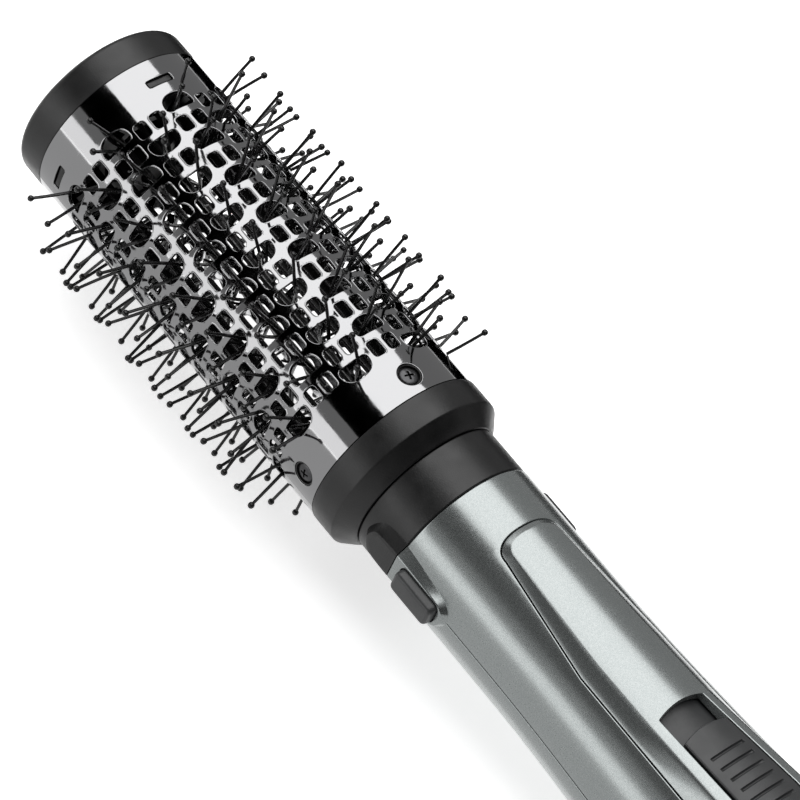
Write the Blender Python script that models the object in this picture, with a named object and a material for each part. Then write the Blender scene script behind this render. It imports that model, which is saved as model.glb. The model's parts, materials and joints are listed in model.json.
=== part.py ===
"""Hot air brush: a perforated thermal barrel head with nylon bristles that plugs onto a blower handle.

Everything is laid out in the tool's own frame, in millimetres: X runs along the tool axis from the
brush tip (negative) to the cord end (positive), Z points out of the switch side, and X = 0 is the
plane where the head seats on the handle. The whole tool hangs on one empty, which lays it on a
table: it rests on the bottom row of bristles and on the edge of the tail.
"""
import math

import bmesh
import bpy
from mathutils import Matrix, Vector

MM = 0.001
GAP = 0.3

# Brush head, lengths along the axis and radii
COLUMNS = 16
PERIODS = 7
HOLE_PITCH = 12.77
FIRST_HOLE_X = -111.7
HEAD_TIP_X = -134.9
BARREL_FRONT_X = -125.2
BARREL_REAR_X = -12.8
BARREL_RADIUS = 25.0
BARREL_WALL = 0.8
COLLAR_RADIUS = 25.2
CONE_START_X = -4.5
COLLAR_BORE = 17.6
STAGGER = 8.9
DOME_WIDTH = 8.5
DOME_HEIGHT = 4.9
WINDOW_OFFSET = 6.65
WINDOW_WIDTH = 8.1
WINDOW_HEIGHT = 4.7
LUG_WINDOW = (2.3, 7.8)
LUG_X = -118.7
SCREW_X = -18.1
SLEEVE_START_X = -23.4
SCREW_HEAD_RADIUS = 3.0

# Bristles
TIP_RADIUS = 37.0
RAIL_BOTTOM = 14.0
RAIL_TOP = 16.6
RAIL_WIDTH = 2.6
RAIL_FRONT_X = -122.0
RAIL_REAR_X = -17.0
PIN_RADIUS = 0.5
ROOT_LEAN = 2.0
ROOT_SPLAY = 0.55
TIP_LEAN = 5.0
TIP_SPLAY = 3.5

# Handle
SPIGOT_X = -16.0
SPIGOT_RADIUS = 17.2
NECK_RADIUS = 20.7
SHELL_FRONT_X = 13.1
SHELL_REAR_X = 185.0
SHELL_RADIUS = 20.9
SWELL = 3.9
SWELL_START_X = 50.0
SWELL_LENGTH = 100.0
TAIL_TAPER = 1.2
WALL = 2.2
TAIL_END_X = 199.0
TAIL_RADIUS = 20.0
GLAND_END_X = 207.0
HANDLE_SEGMENTS = 26
DUCT_SEGMENTS = 18

# Shell screws: place along the axis, place across, reach of the posts, seat height
SHELL_SCREWS = ((62.0, -16.2, 7.0, -5.0), (62.0, 16.2, 7.0, -5.0),
                (166.0, -17.0, 13.0, -9.0), (166.0, 17.0, 13.0, -9.0))
POST_RADIUS = 2.9
SHANK_RADIUS = 1.0
SHANK_TOP = 6.5
SHELL_HEAD_RADIUS = 2.0

# Release buttons
BUTTON_X = 22.8
BUTTON_LENGTH = 13.4
BUTTON_WIDTH = 6.6
BUTTON_TOP = 24.9
BUTTON_FLANGE_TOP = 17.4
BUTTON_BASE = 16.5

# Raised pad around each button: stations along the axis with half widths, at its foot and on top
PAD_FOOT = ((1.2, 0.0), (2.6, 3.6), (5.2, 6.0), (10.0, 6.85), (18.0, 6.5), (25.0, 5.6), (29.6, 4.5),
            (32.4, 2.4), (33.6, 0.0))
PAD_CROWN = ((3.6, 0.0), (4.2, 2.2), (5.6, 3.8), (10.0, 4.3), (18.0, 4.2), (25.0, 4.1), (28.6, 3.5),
             (30.4, 1.9), (31.0, 0.0))
PAD_ROOT = 18.2
PAD_FOOT_LEVEL = 19.6
PAD_TOP = 22.3

# Switch panel and slider, half widths as angles about the tool axis
PANEL_START_X = 28.0
PANEL_FULL_X = 66.0
PANEL_END_X = 176.0
PANEL_EDGE_FRONT = 24.5
PANEL_EDGE = 37.5
PANEL_CREST_FRONT = 20.0
PANEL_CREST = 25.5
PANEL_RAISE = 0.9
PANEL_DEPTH = 1.0
RAMP_START_X = 84.0
RAMP_END_X = 116.0
RAMP_SLOPE = 0.076
RAMP_FALL_X = 130.0
SLOT_START_X = 84.4
SLOT_END_X = 123.0
SLOT_ANGLE = 18.5
FRONT_BULGE = 1.2
SLIDER_START_X = 92.7
SLIDER_END_X = 122.4
SLIDER_ANGLE = 16.8
SLIDER_BASE_START_X = 84.0
SLIDER_BASE_END_X = 129.6
SLIDER_BASE_ANGLE = 22.5
SLIDER_BASE_LOW = -2.8
SLIDER_BASE_TOP = -1.8
SLIDER_RAISE = 0.1
GUIDE_START_X = 76.0
GUIDE_END_X = 133.0
GRIP_PITCH = 3.34
GRIP_COUNT = 6
GRIP_FIRST_X = 100.4
GRIP_WIDTH = 0.9
GRIP_DEPTH = 0.9
GRIP_HALF_LENGTH = 5.4

# Cap and collar of the head
CAP_WALL = 2.0
CAP_PLUG_REAR_X = LUG_X + 2.5
SOCKET_GROOVE = (-10.2, -7.0, 0.9)
SOCKET_FRONT_X = -16.4
SLEEVE_BORE = 20.8
SCREW_SEAT_LEVEL = 22.2
SCREW_HEAD_LEVEL = 22.5

# Latches: channel through the neck, arm of each button and its spring
NOZZLE_BORE = 14.6
LATCH_CHANNEL = (-11.4, 2.4, 13.7, 17.6)
LATCH_ARM = ((BUTTON_X - 5.0, 15.4), (BUTTON_X - 5.0, 16.8), (-7.2, 16.8), (-7.4, 17.1), (-9.0, 17.1),
             (-10.4, 15.4))
LATCH_HALF_WIDTH = 2.0
SPRING_X = BUTTON_X + 1.5
SPRING_START = 14.95
SPRING_RADIUS = 2.1
SPRING_WIRE = 0.3
SPRING_LENGTH = 3.6
SPRING_TURNS = 3.0

# Heater, lengths along the axis and radii
LINER = (18.0, 97.0, 12.2, 12.8)
MICA_START_X = 20.0
MICA_LENGTH = 74.0
MICA_REACH = 9.9
MICA_HALF_THICKNESS = 0.4
COIL_START_X = 30.0
COIL_LENGTH = 56.0
COIL_RADIUS = 11.0
COIL_WIRE = 0.5
COIL_TURNS = 7.0

# Fan and motor
FAN_X = 110.0
FAN_BLADES = 7
FAN_TIP_RADIUS = 15.0
FAN_HUB = ((105.0, 1.3), (105.0, 4.6), (106.0, 5.4), (115.0, 5.4), (115.0, 1.3))
BLADE_PITCH = 0.6
DUCT = ((90.0, 13.1), (90.0, 14.1), (101.0, 16.6), (150.0, 16.6), (150.0, 15.6), (101.4, 15.6), (96.0, 13.1))
SHAFT_START_X = 102.0
SHAFT_LENGTH = 53.0
SHAFT_RADIUS = 1.0
CAN = ((119.0, 1.5), (119.0, 12.0), (146.0, 12.0), (146.0, 11.0), (120.2, 11.0), (120.2, 1.5))
MAGNETS = ((121.0, 8.6), (121.0, 10.6), (144.0, 10.6), (144.0, 8.6))
ARMATURE = ((123.0, 1.3), (123.0, 8.0), (142.0, 8.0), (142.0, 1.3))
END_BELL = ((146.3, 1.5), (146.3, 12.0), (148.4, 12.0), (148.4, 3.0), (151.0, 3.0), (151.0, 1.5))
MOUNT_START_X = 128.0
MOUNT_END_X = 138.0
MOUNT_BORE = 12.3
MOUNT_RING = 13.4
MOUNT_SPOKE = 15.1
MOUNT_SECTIONS = 20

# Tail
BULKHEAD_X = 178.0
BULKHEAD_THICKNESS = 3.0
GLAND_CLEARANCE_BORE = 5.4
AIR_HOLES = 6
AIR_HOLE_RADIUS = 4.6
AIR_HOLE_PLACE = 13.2
GLAND = ((173.0, 3.6), (173.0, 7.4), (177.7, 7.4), (177.7, 5.0), (202.0, 5.0), (GLAND_END_X, 4.5),
         (GLAND_END_X, 3.6))
GLAND_CLIP = ((181.3, 5.4), (181.3, 6.6), (182.5, 6.6), (182.5, 5.4))
COVER_BORE = 5.6
COVER_SLOTS = 12
SLOT_FROM = 9.0
SLOT_TO = 17.5
FILTER_X = 188.0
FILTER_THICKNESS = 0.6


# ---------------------------------------------------------------- helpers

def clear_scene():
    """Remove whatever the scene holds."""
    for item in list(bpy.data.objects):
        bpy.data.objects.remove(item, do_unlink=True)


def make_material(name, color, roughness, metallic=0.0):
    """A Principled material with one colour."""
    material = bpy.data.materials.new(name)
    material.use_nodes = True
    shader = material.node_tree.nodes["Principled BSDF"]
    shader.inputs["Base Color"].default_value = (*color, 1.0)
    shader.inputs["Roughness"].default_value = roughness
    shader.inputs["Metallic"].default_value = metallic
    return material


def polar(x, radius, degrees):
    """A point about the tool axis; the angle runs from the switch side towards +Y."""
    angle = math.radians(degrees)
    return Vector((x, radius * math.sin(angle), radius * math.cos(angle)))


def add_object(name, bm, material, parent, origin=(0.0, 0.0, 0.0)):
    """Make an object from a mesh in tool millimetres, with its origin at the given point."""
    bmesh.ops.recalc_face_normals(bm, faces=bm.faces)
    bmesh.ops.translate(bm, vec=-Vector(origin), verts=bm.verts)
    bmesh.ops.scale(bm, vec=(MM, MM, MM), verts=bm.verts)
    mesh = bpy.data.meshes.new(name)
    bm.to_mesh(mesh)
    bm.free()
    if material:
        mesh.materials.append(material)
    mesh.shade_smooth()
    mesh.set_sharp_from_angle(angle=math.radians(32))
    item = bpy.data.objects.new(name, mesh)
    bpy.context.scene.collection.objects.link(item)
    item.parent = parent
    item.location = Vector(origin) * MM
    return item


def boolean(target, tool_mesh, parent, operation="DIFFERENCE"):
    """Cut or join a mesh in tool millimetres with a Boolean; the tool object stays hidden."""
    name = target.name + "_tool_" + str(len(target.modifiers))
    tool = add_object(name, tool_mesh, None, parent)
    tool.hide_render = True
    tool.display_type = "WIRE"
    modifier = target.modifiers.new(name, "BOOLEAN")
    modifier.operation = operation
    modifier.solver = "EXACT"
    modifier.object = tool


def loft(bm, rings, closed=False):
    """Skin a list of equal rings; the ends are capped unless the loft closes on itself."""
    count = len(rings[0])
    pairs = list(zip(rings, rings[1:]))
    if closed:
        pairs.append((rings[-1], rings[0]))
    for first, second in pairs:
        for index in range(count):
            after = (index + 1) % count
            bm.faces.new((first[index], first[after], second[after], second[index]))
    if not closed:
        bm.faces.new(rings[0])
        bm.faces.new(rings[-1])


def turned(outline, segments=HANDLE_SEGMENTS):
    """Turn a closed (x, radius) outline about the tool axis; flats face straight up and down."""
    bm = bmesh.new()
    step = 360.0 / segments
    rings = []
    for index in range(segments):
        angle = step * (index + 0.5)
        rings.append([bm.verts.new(polar(x, radius, angle)) for x, radius in outline])
    loft(bm, rings, closed=True)
    return bm


def turned_solid(outline, segments=HANDLE_SEGMENTS):
    """Turn an open outline and close both ends with a flat face, so that the solid has no bore."""
    bm = bmesh.new()
    step = 360.0 / segments
    rings = []
    for x, radius in outline:
        angles = [step * (index + 0.5) for index in range(segments)]
        rings.append([bm.verts.new(polar(x, radius, angle)) for angle in angles])
    loft(bm, rings)
    return bm


def prism(points, offset):
    """Extrude a flat closed outline of 3-D points along an offset vector."""
    bm = bmesh.new()
    lower = [bm.verts.new(point) for point in points]
    upper = [bm.verts.new(Vector(point) + Vector(offset)) for point in points]
    loft(bm, [lower, upper])
    return bm


def block(low, high):
    """A box between two corners."""
    (x0, y0, z0), (x1, y1, z1) = low, high
    base = [(x0, y0, z0), (x1, y0, z0), (x1, y1, z0), (x0, y1, z0)]
    return prism(base, (0.0, 0.0, z1 - z0))


def rod(center, axis, radius, length, segments=12):
    """A plain cylinder from a point along a direction."""
    direction = Vector(axis).normalized()
    side = direction.orthogonal().normalized()
    other = direction.cross(side)
    points = []
    for index in range(segments):
        angle = 2 * math.pi * index / segments
        points.append(Vector(center) + radius * (math.cos(angle) * side + math.sin(angle) * other))
    return prism(points, direction * length)


def merge(parts):
    """Gather several meshes into one, as separate shells."""
    bm = bmesh.new()
    for part in parts:
        mesh = bpy.data.meshes.new("part")
        bmesh.ops.recalc_face_normals(part, faces=part.faces)
        part.to_mesh(mesh)
        part.free()
        bm.from_mesh(mesh)
        bpy.data.meshes.remove(mesh)
    return bm


def radial_prism(outline, x, degrees, low, high):
    """Extrude an (axial, circumferential) outline outwards at a place on the barrel."""
    turn = Matrix.Rotation(-math.radians(degrees), 4, "X")
    bm = prism([(x + along, across, low) for along, across in outline], (0.0, 0.0, high - low))
    bmesh.ops.transform(bm, matrix=turn, verts=bm.verts)
    return bm


def shell_radius(x):
    """Outer radius of the handle: straight at the front, a soft swell, a slight taper at the tail."""
    t = min(max((x - SWELL_START_X) / SWELL_LENGTH, 0.0), 1.0)
    swell = SWELL * t * t * (3 - 2 * t)
    u = max((x - SWELL_START_X - SWELL_LENGTH) / (SHELL_REAR_X - SWELL_START_X - SWELL_LENGTH), 0.0)
    return SHELL_RADIUS + swell - TAIL_TAPER * u * u


# ---------------------------------------------------------------- brush head

def station_x(column, index):
    """Centre of the dome-shaped hole of a column; odd columns are half a pitch later."""
    return FIRST_HOLE_X + index * HOLE_PITCH + (STAGGER if column % 2 else 0.0)


def dome_outline(towards_tip):
    """A D-shaped hole, its arc towards the tip or towards the handle."""
    half = DOME_WIDTH / 2
    flat = DOME_HEIGHT / 2
    points = [(flat, -half), (flat, half), (-flat * 0.2, half * 0.92), (-flat, 0.0),
              (-flat * 0.2, -half * 0.92)]
    sign = 1.0 if towards_tip else -1.0
    return [(sign * along, across) for along, across in points]


def rectangle(length, width):
    """An outline with its length along the axis."""
    a = length / 2
    b = width / 2
    return [(-a, -b), (a, -b), (a, b), (-a, b)]


def column_holes(column):
    """Outlines of every hole in one column of the barrel, as (axial, circumferential) points."""
    towards_tip = column % 2 == 0
    shift = WINDOW_OFFSET if towards_tip else -WINDOW_OFFSET
    holes = []
    for index in range(PERIODS):
        x = station_x(column, index)
        holes.append([(x + along, across) for along, across in dome_outline(towards_tip)])
        window = rectangle(WINDOW_HEIGHT, WINDOW_WIDTH)
        holes.append([(x + shift + along, across) for along, across in window])
    if column % 4 == 0:
        holes.append([(LUG_X + along, across) for along, across in rectangle(*LUG_WINDOW)])
        radius = SCREW_HEAD_RADIUS + 0.6
        turns = [2 * math.pi * (index + 0.5) / 8 for index in range(8)]
        holes.append([(SCREW_X + radius * math.cos(turn), radius * math.sin(turn)) for turn in turns])
    return holes


def facet_with_holes(bm, degrees, height, corners, holes):
    """One flat facet of the barrel, filled around its holes; gives back its outlines' vertices."""
    turn = Matrix.Rotation(-math.radians(degrees), 4, "X")
    loops = []
    edges = []
    for outline in [corners] + holes:
        loop = [bm.verts.new(turn @ Vector((x, across, height))) for x, across in outline]
        edges += [bm.edges.new((first, second)) for first, second in zip(loop, loop[1:] + loop[:1])]
        loops.append(loop)
    bmesh.ops.triangle_fill(bm, edges=edges, use_beauty=True)
    return loops


def build_barrel(parent, material):
    """The perforated tube: wide flat facets under the columns, narrow ones between them."""
    bm = bmesh.new()
    half = math.asin((DOME_WIDTH / 2 + 0.35) / BARREL_RADIUS)
    facets = []
    for column in range(COLUMNS):
        degrees = column * 360.0 / COLUMNS
        holes = column_holes(column)
        pair = []
        for radius in (BARREL_RADIUS, BARREL_RADIUS - BARREL_WALL):
            side = radius * math.sin(half)
            corners = [(BARREL_FRONT_X, -side), (BARREL_REAR_X, -side), (BARREL_REAR_X, side),
                       (BARREL_FRONT_X, side)]
            pair.append(facet_with_holes(bm, degrees, radius * math.cos(half), corners, holes))
        for outer, inner in zip(*pair):
            if outer is pair[0][0]:
                ends = ((0, 3), (1, 2))
            else:
                ends = [(index, (index + 1) % len(outer)) for index in range(len(outer))]
            for first, second in ends:
                bm.faces.new((outer[first], outer[second], inner[second], inner[first]))
        facets.append((pair[0][0], pair[1][0]))
    for (outer, inner), (next_outer, next_inner) in zip(facets, facets[1:] + facets[:1]):
        for here, there in ((outer, next_outer), (inner, next_inner)):
            bm.faces.new((here[2], here[3], there[0], there[1]))
        bm.faces.new((outer[3], inner[3], next_inner[0], next_outer[0]))
        bm.faces.new((outer[2], inner[2], next_inner[1], next_outer[1]))
    add_object("barrel", bm, material, parent)


def build_end_cap(parent, material):
    """Cap with a rounded rim, a plug inside the barrel and four snap lugs in the windows."""
    plug = BARREL_RADIUS - BARREL_WALL - GAP - 0.3
    rim = BARREL_RADIUS - 0.1
    outline = [(HEAD_TIP_X, rim - 2.3), (HEAD_TIP_X + 0.7, rim - 0.7), (HEAD_TIP_X + 2.3, rim),
               (BARREL_FRONT_X - GAP, rim), (BARREL_FRONT_X - GAP, plug), (CAP_PLUG_REAR_X, plug),
               (CAP_PLUG_REAR_X, plug - CAP_WALL), (HEAD_TIP_X + 3.0, plug - CAP_WALL)]
    cap = add_object("end_cap", turned_solid(outline), material, parent)
    lugs = [radial_prism(rectangle(1.6, 7.0), LUG_X, index * 90.0, plug - 1.0, BARREL_RADIUS - 0.5)
            for index in range(4)]
    boolean(cap, merge(lugs), parent, "UNION")


def pin_ring(bm, root, tip, fraction, radius):
    """Three corners of a bristle's section at a fraction of its length."""
    direction = (tip - root).normalized()
    side = direction.cross(Vector((0, 1, 0))).normalized()
    other = direction.cross(side)
    center = root.lerp(tip, fraction)
    corners = []
    for index in range(3):
        angle = 2 * math.pi * index / 3
        corners.append(bm.verts.new(center + radius * (math.cos(angle) * side + math.sin(angle) * other)))
    return corners


def build_strip(column, parent, material):
    """One rail with two crossing pins under each dome-shaped hole, built pointing up, then turned."""
    degrees = column * 360.0 / COLUMNS
    name = "bristle_strip_{:02d}".format(column + 1)
    rail = block((RAIL_FRONT_X, -RAIL_WIDTH / 2, RAIL_BOTTOM), (RAIL_REAR_X, RAIL_WIDTH / 2, RAIL_TOP))
    pins = []
    for index in range(PERIODS):
        x = station_x(column, index)
        for lean in (-1, 1):
            root = Vector((x - lean * ROOT_LEAN, -lean * ROOT_SPLAY, RAIL_TOP - 0.8))
            across = -lean * TIP_SPLAY
            height = math.sqrt(TIP_RADIUS ** 2 - across ** 2)
            tip = Vector((x + lean * TIP_LEAN, across, height))
            pin = bmesh.new()
            loft(pin, [pin_ring(pin, root, tip, 0.0, PIN_RADIUS), pin_ring(pin, root, tip, 1.0, PIN_RADIUS)])
            pins.append(pin)
    turn = Matrix.Rotation(-math.radians(degrees), 4, "X")
    pin_mesh = merge(pins)
    for bm in (rail, pin_mesh):
        bmesh.ops.transform(bm, matrix=turn, verts=bm.verts)
    strip = add_object(name, rail, material, parent)
    boolean(strip, pin_mesh, parent, "UNION")


def build_strip_ring(name, x, length, outer, parent, material):
    """Ring with one notch for each rail."""
    bm = bmesh.new()
    inner = RAIL_BOTTOM - 2.5
    floor = RAIL_BOTTOM - GAP
    half = RAIL_WIDTH / 2 + GAP
    rings = []
    for column in range(COLUMNS):
        center = column * 360.0 / COLUMNS
        deep = math.degrees(math.asin(half / floor))
        shallow = math.degrees(math.asin(half / outer))
        for radius, angle in ((outer, center - shallow), (floor, center - deep), (floor, center + deep),
                              (outer, center + shallow)):
            corners = [(x, inner), (x, radius), (x + length, radius), (x + length, inner)]
            rings.append([bm.verts.new(polar(px, r, angle)) for px, r in corners])
    loft(bm, rings, closed=True)
    add_object(name, bm, material, parent)


def build_rear_collar(parent, material):
    """Ring and conical shoulder outside, sleeve inside the barrel, socket for the spigot."""
    sleeve = BARREL_RADIUS - BARREL_WALL - GAP - 0.2
    groove_front, groove_rear, groove_depth = SOCKET_GROOVE
    outline = [(SLEEVE_START_X, SLEEVE_BORE), (SLEEVE_START_X, sleeve), (BARREL_REAR_X + GAP, sleeve),
               (BARREL_REAR_X + GAP, COLLAR_RADIUS - 0.3), (BARREL_REAR_X + 0.8, COLLAR_RADIUS),
               (CONE_START_X - 0.6, COLLAR_RADIUS), (CONE_START_X, COLLAR_RADIUS - 0.4),
               (-GAP, NECK_RADIUS + 0.2), (-GAP, COLLAR_BORE), (groove_rear, COLLAR_BORE),
               (groove_rear, COLLAR_BORE + groove_depth), (groove_front, COLLAR_BORE + groove_depth),
               (groove_front, COLLAR_BORE), (SOCKET_FRONT_X, COLLAR_BORE), (SOCKET_FRONT_X, SLEEVE_BORE)]
    collar = add_object("rear_collar", turned(outline), material, parent)
    seats = []
    for index in range(4):
        base = polar(SCREW_X, SCREW_SEAT_LEVEL, index * 90.0)
        axis = base - Vector((SCREW_X, 0, 0))
        seats.append(screw_mesh(base, axis, SCREW_HEAD_RADIUS + GAP, 6.0, 1.3, 5.0))
    boolean(collar, merge(seats), parent)


def screw_mesh(base, axis, head_radius, head_height, shank_radius, shank_length):
    """Pan head and plain shank; the base point is the underside of the head, the axis points out."""
    direction = Vector(axis).normalized()
    side = direction.orthogonal().normalized()
    other = direction.cross(side)
    levels = [(-shank_length, shank_radius), (0.0, shank_radius), (0.0, head_radius),
              (head_height, head_radius)]
    bm = bmesh.new()
    rings = []
    for height, radius in levels:
        ring = []
        for index in range(8):
            angle = 2 * math.pi * index / 8
            spoke = math.cos(angle) * side + math.sin(angle) * other
            ring.append(bm.verts.new(Vector(base) + direction * height + radius * spoke))
        rings.append(ring)
    loft(bm, rings)
    return bm


def cross_recess(base, axis, head_height, size):
    """The two crossing slots of a cross-head screw, as one outline."""
    direction = Vector(axis).normalized()
    side = direction.orthogonal().normalized()
    other = direction.cross(side)
    narrow = size * 0.22
    outline = [(size, narrow), (narrow, narrow), (narrow, size), (-narrow, size), (-narrow, narrow),
               (-size, narrow), (-size, -narrow), (-narrow, -narrow), (-narrow, -size), (narrow, -size),
               (narrow, -narrow), (size, -narrow)]
    start = Vector(base) + direction * head_height * 0.4
    return prism([start + side * a + other * b for a, b in outline], direction * head_height)


def build_screw(name, base, axis, head_radius, head_height, shank_radius, shank_length, parent, material):
    """A cross-head screw."""
    bm = screw_mesh(base, axis, head_radius, head_height, shank_radius, shank_length)
    screw = add_object(name, bm, material, parent, base)
    boolean(screw, cross_recess(base, axis, head_height, head_radius * 0.55), parent)


def build_head(parent, materials):
    """Everything that pulls off the handle."""
    build_barrel(parent, materials["chrome"])
    build_end_cap(parent, materials["black_plastic"])
    for column in range(COLUMNS):
        build_strip(column, parent, materials["nylon"])
    build_strip_ring("strip_ring_front", RAIL_FRONT_X + 0.6, 5.0, 20.5, parent, materials["nylon"])
    build_strip_ring("strip_ring_rear", RAIL_REAR_X - 5.0, 4.4, 20.2, parent, materials["nylon"])
    build_rear_collar(parent, materials["black_plastic"])
    for index in range(4):
        base = polar(SCREW_X, SCREW_HEAD_LEVEL, index * 90.0)
        axis = base - Vector((SCREW_X, 0, 0))
        build_screw("collar_screw_{}".format(index + 1), base, axis, SCREW_HEAD_RADIUS, 1.9, 1.0, 2.0,
                    parent, materials["screw"])


# ---------------------------------------------------------------- handle shells

def clip(bm, point, normal):
    """Cut a mesh with a plane, drop the side that the normal points to and close the cut."""
    geometry = list(bm.verts) + list(bm.edges) + list(bm.faces)
    bmesh.ops.bisect_plane(bm, geom=geometry, plane_co=point, plane_no=normal, clear_outer=True)
    open_edges = [edge for edge in bm.edges if edge.is_boundary]
    bmesh.ops.edgeloop_fill(bm, edges=open_edges)


def egg(stations):
    """A closed outline about the axis from stations of half widths, as (x, z) points."""
    upper = [(x, half) for x, half in stations]
    lower = [(x, -half) for x, half in reversed(stations[1:-1])]
    return upper + lower


def pad_mesh(side):
    """The raised pad with bevelled sides around one release button."""
    bm = bmesh.new()
    rings = []
    for level, stations in ((PAD_ROOT, PAD_FOOT), (PAD_FOOT_LEVEL, PAD_FOOT), (PAD_TOP, PAD_CROWN)):
        rings.append([bm.verts.new((x, side * level, z)) for x, z in egg(stations)])
    loft(bm, rings)
    return bm


def button_window(side, length, width, low, high):
    """The opening that a release button moves in."""
    start = BUTTON_X - length / 2
    near = min(side * low, side * high)
    far = max(side * low, side * high)
    return block((start, near, -width / 2), (start + length, far, width / 2))


def half_shell(name, top, parent, material):
    """One half of the handle casing, a thin wall lofted from section to section."""
    bm = bmesh.new()
    count = HANDLE_SEGMENTS // 2
    start = -90.0 if top else 90.0
    turn = 180.0 / count
    seam = math.degrees(GAP / 2 / SHELL_RADIUS)
    stations = [SHELL_FRONT_X + GAP, 50.0, 66.0, 84.0, 100.0, 116.0, 134.0, 150.0, SHELL_REAR_X]
    rings = []
    for x in stations:
        outer = shell_radius(x)
        angles = [start + turn * index for index in range(count + 1)]
        angles[0] += seam
        angles[-1] -= seam
        ring = [bm.verts.new(polar(x, outer, angle)) for angle in angles]
        ring += [bm.verts.new(polar(x, outer - WALL, angle)) for angle in reversed(angles)]
        rings.append(ring)
    loft(bm, rings)
    shell = add_object(name, bm, material, parent)
    for side in (-1, 1):
        pad = pad_mesh(side)
        clip(pad, (SHELL_FRONT_X + GAP, 0.0, 0.0), (-1.0, 0.0, 0.0))
        seam_z = GAP / 2 if top else -GAP / 2
        clip(pad, (0.0, 0.0, seam_z), (0.0, 0.0, -seam_z))
        boolean(shell, pad, parent, "UNION")
        window = button_window(side, BUTTON_LENGTH + 2 * GAP, BUTTON_WIDTH + 2 * GAP, 12.0, 26.0)
        boolean(shell, window, parent)
    return shell


def panel_raise(x):
    """Height of the inlay's top over the casing: it ramps up to the thumb slider, then falls again."""
    climb = RAMP_SLOPE * min(max(x - RAMP_START_X, 0.0), RAMP_END_X - RAMP_START_X)
    t = min(max((x - RAMP_FALL_X) / (PANEL_END_X - RAMP_FALL_X), 0.0), 1.0)
    return PANEL_RAISE + climb * (1.0 - t * t * (3 - 2 * t))


def panel_section(bm, x, edge, crest, low, high, top):
    """A section of the inlay: sloped sides up to the crest lines, curved top, parallel underside."""
    radius = shell_radius(x)
    points = [(edge, low), (edge, high), (crest, top), (crest * 0.5, top), (-crest * 0.5, top), (-crest, top),
              (-edge, high), (-edge, low), (-edge * 0.55, low), (0.0, low), (edge * 0.55, low)]
    return [bm.verts.new(polar(x, radius + level, angle)) for angle, level in points]


def panel_mesh(grow, low, high, lift):
    """The inlay from its rounded front to its end near the tail, grown all round for its pocket."""
    bm = bmesh.new()
    rings = []
    swing = math.degrees(grow / SHELL_RADIUS)
    arc = [(PANEL_START_X - grow, 0.5), (PANEL_START_X + 0.8, 0.76), (PANEL_START_X + 2.6, 0.93)]
    for x, share in arc:
        rings.append((x, PANEL_EDGE_FRONT * share, PANEL_CREST_FRONT * share))
    stations = (PANEL_START_X + 5.5, 50.0, PANEL_FULL_X, RAMP_START_X, 100.0, RAMP_END_X, RAMP_FALL_X, 150.0,
                168.0, PANEL_END_X + grow)
    for x in stations:
        t = min((x - PANEL_START_X) / (PANEL_FULL_X - PANEL_START_X), 1.0)
        shrink = 1.0 - 0.35 * max((x - 150.0) / (PANEL_END_X - 150.0), 0.0) ** 2
        edge = PANEL_EDGE_FRONT + (PANEL_EDGE - PANEL_EDGE_FRONT) * t
        crest = PANEL_CREST_FRONT + (PANEL_CREST - PANEL_CREST_FRONT) * t
        rings.append((x, edge * shrink, crest * shrink))
    sections = []
    for x, edge, crest in rings:
        sections.append(panel_section(bm, x, edge + swing, crest + swing, low, high, panel_raise(x) + lift))
    loft(bm, sections)
    return bm


def curved_plate(start, end, half_angle, low, high, bulge=0.0, ramp=0.0):
    """A plate that follows the handle's surface; its front can bulge and its top can take the ramp."""
    bm = bmesh.new()
    rings = []
    shares = (-1.0, -0.5, 0.0, 0.5, 1.0)
    for x, bow in ((start, bulge), (100.0, 0.0), (RAMP_END_X, 0.0), (end, 0.0)):
        upper = []
        lower = []
        for share in shares:
            along = x + bow * share * share
            radius = shell_radius(along)
            top = radius + high + ramp * (panel_raise(along) - PANEL_RAISE)
            upper.append(bm.verts.new(polar(along, top, half_angle * share)))
            lower.append(bm.verts.new(polar(along, radius + low, half_angle * share)))
        ring = upper + lower[::-1]
        rings.append(ring)
    loft(bm, rings)
    return bm


def screw_posts(low_share, high_share):
    """The posts inside one half of the casing, between two shares of their full height."""
    posts = []
    for x, across, reach, _ in SHELL_SCREWS:
        low = reach * low_share
        length = reach * (high_share - low_share)
        posts.append(rod((x, across, low), (0, 0, 1), POST_RADIUS, length, 8))
    return merge(posts)


def screw_bores(radius, low, high):
    """Vertical cutters at the shell screws; low and high are functions of the seat height."""
    bores = []
    for x, across, _, seat in SHELL_SCREWS:
        bores.append(rod((x, across, low(seat)), (0, 0, 1), radius, high(seat) - low(seat), 8))
    return merge(bores)


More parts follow.
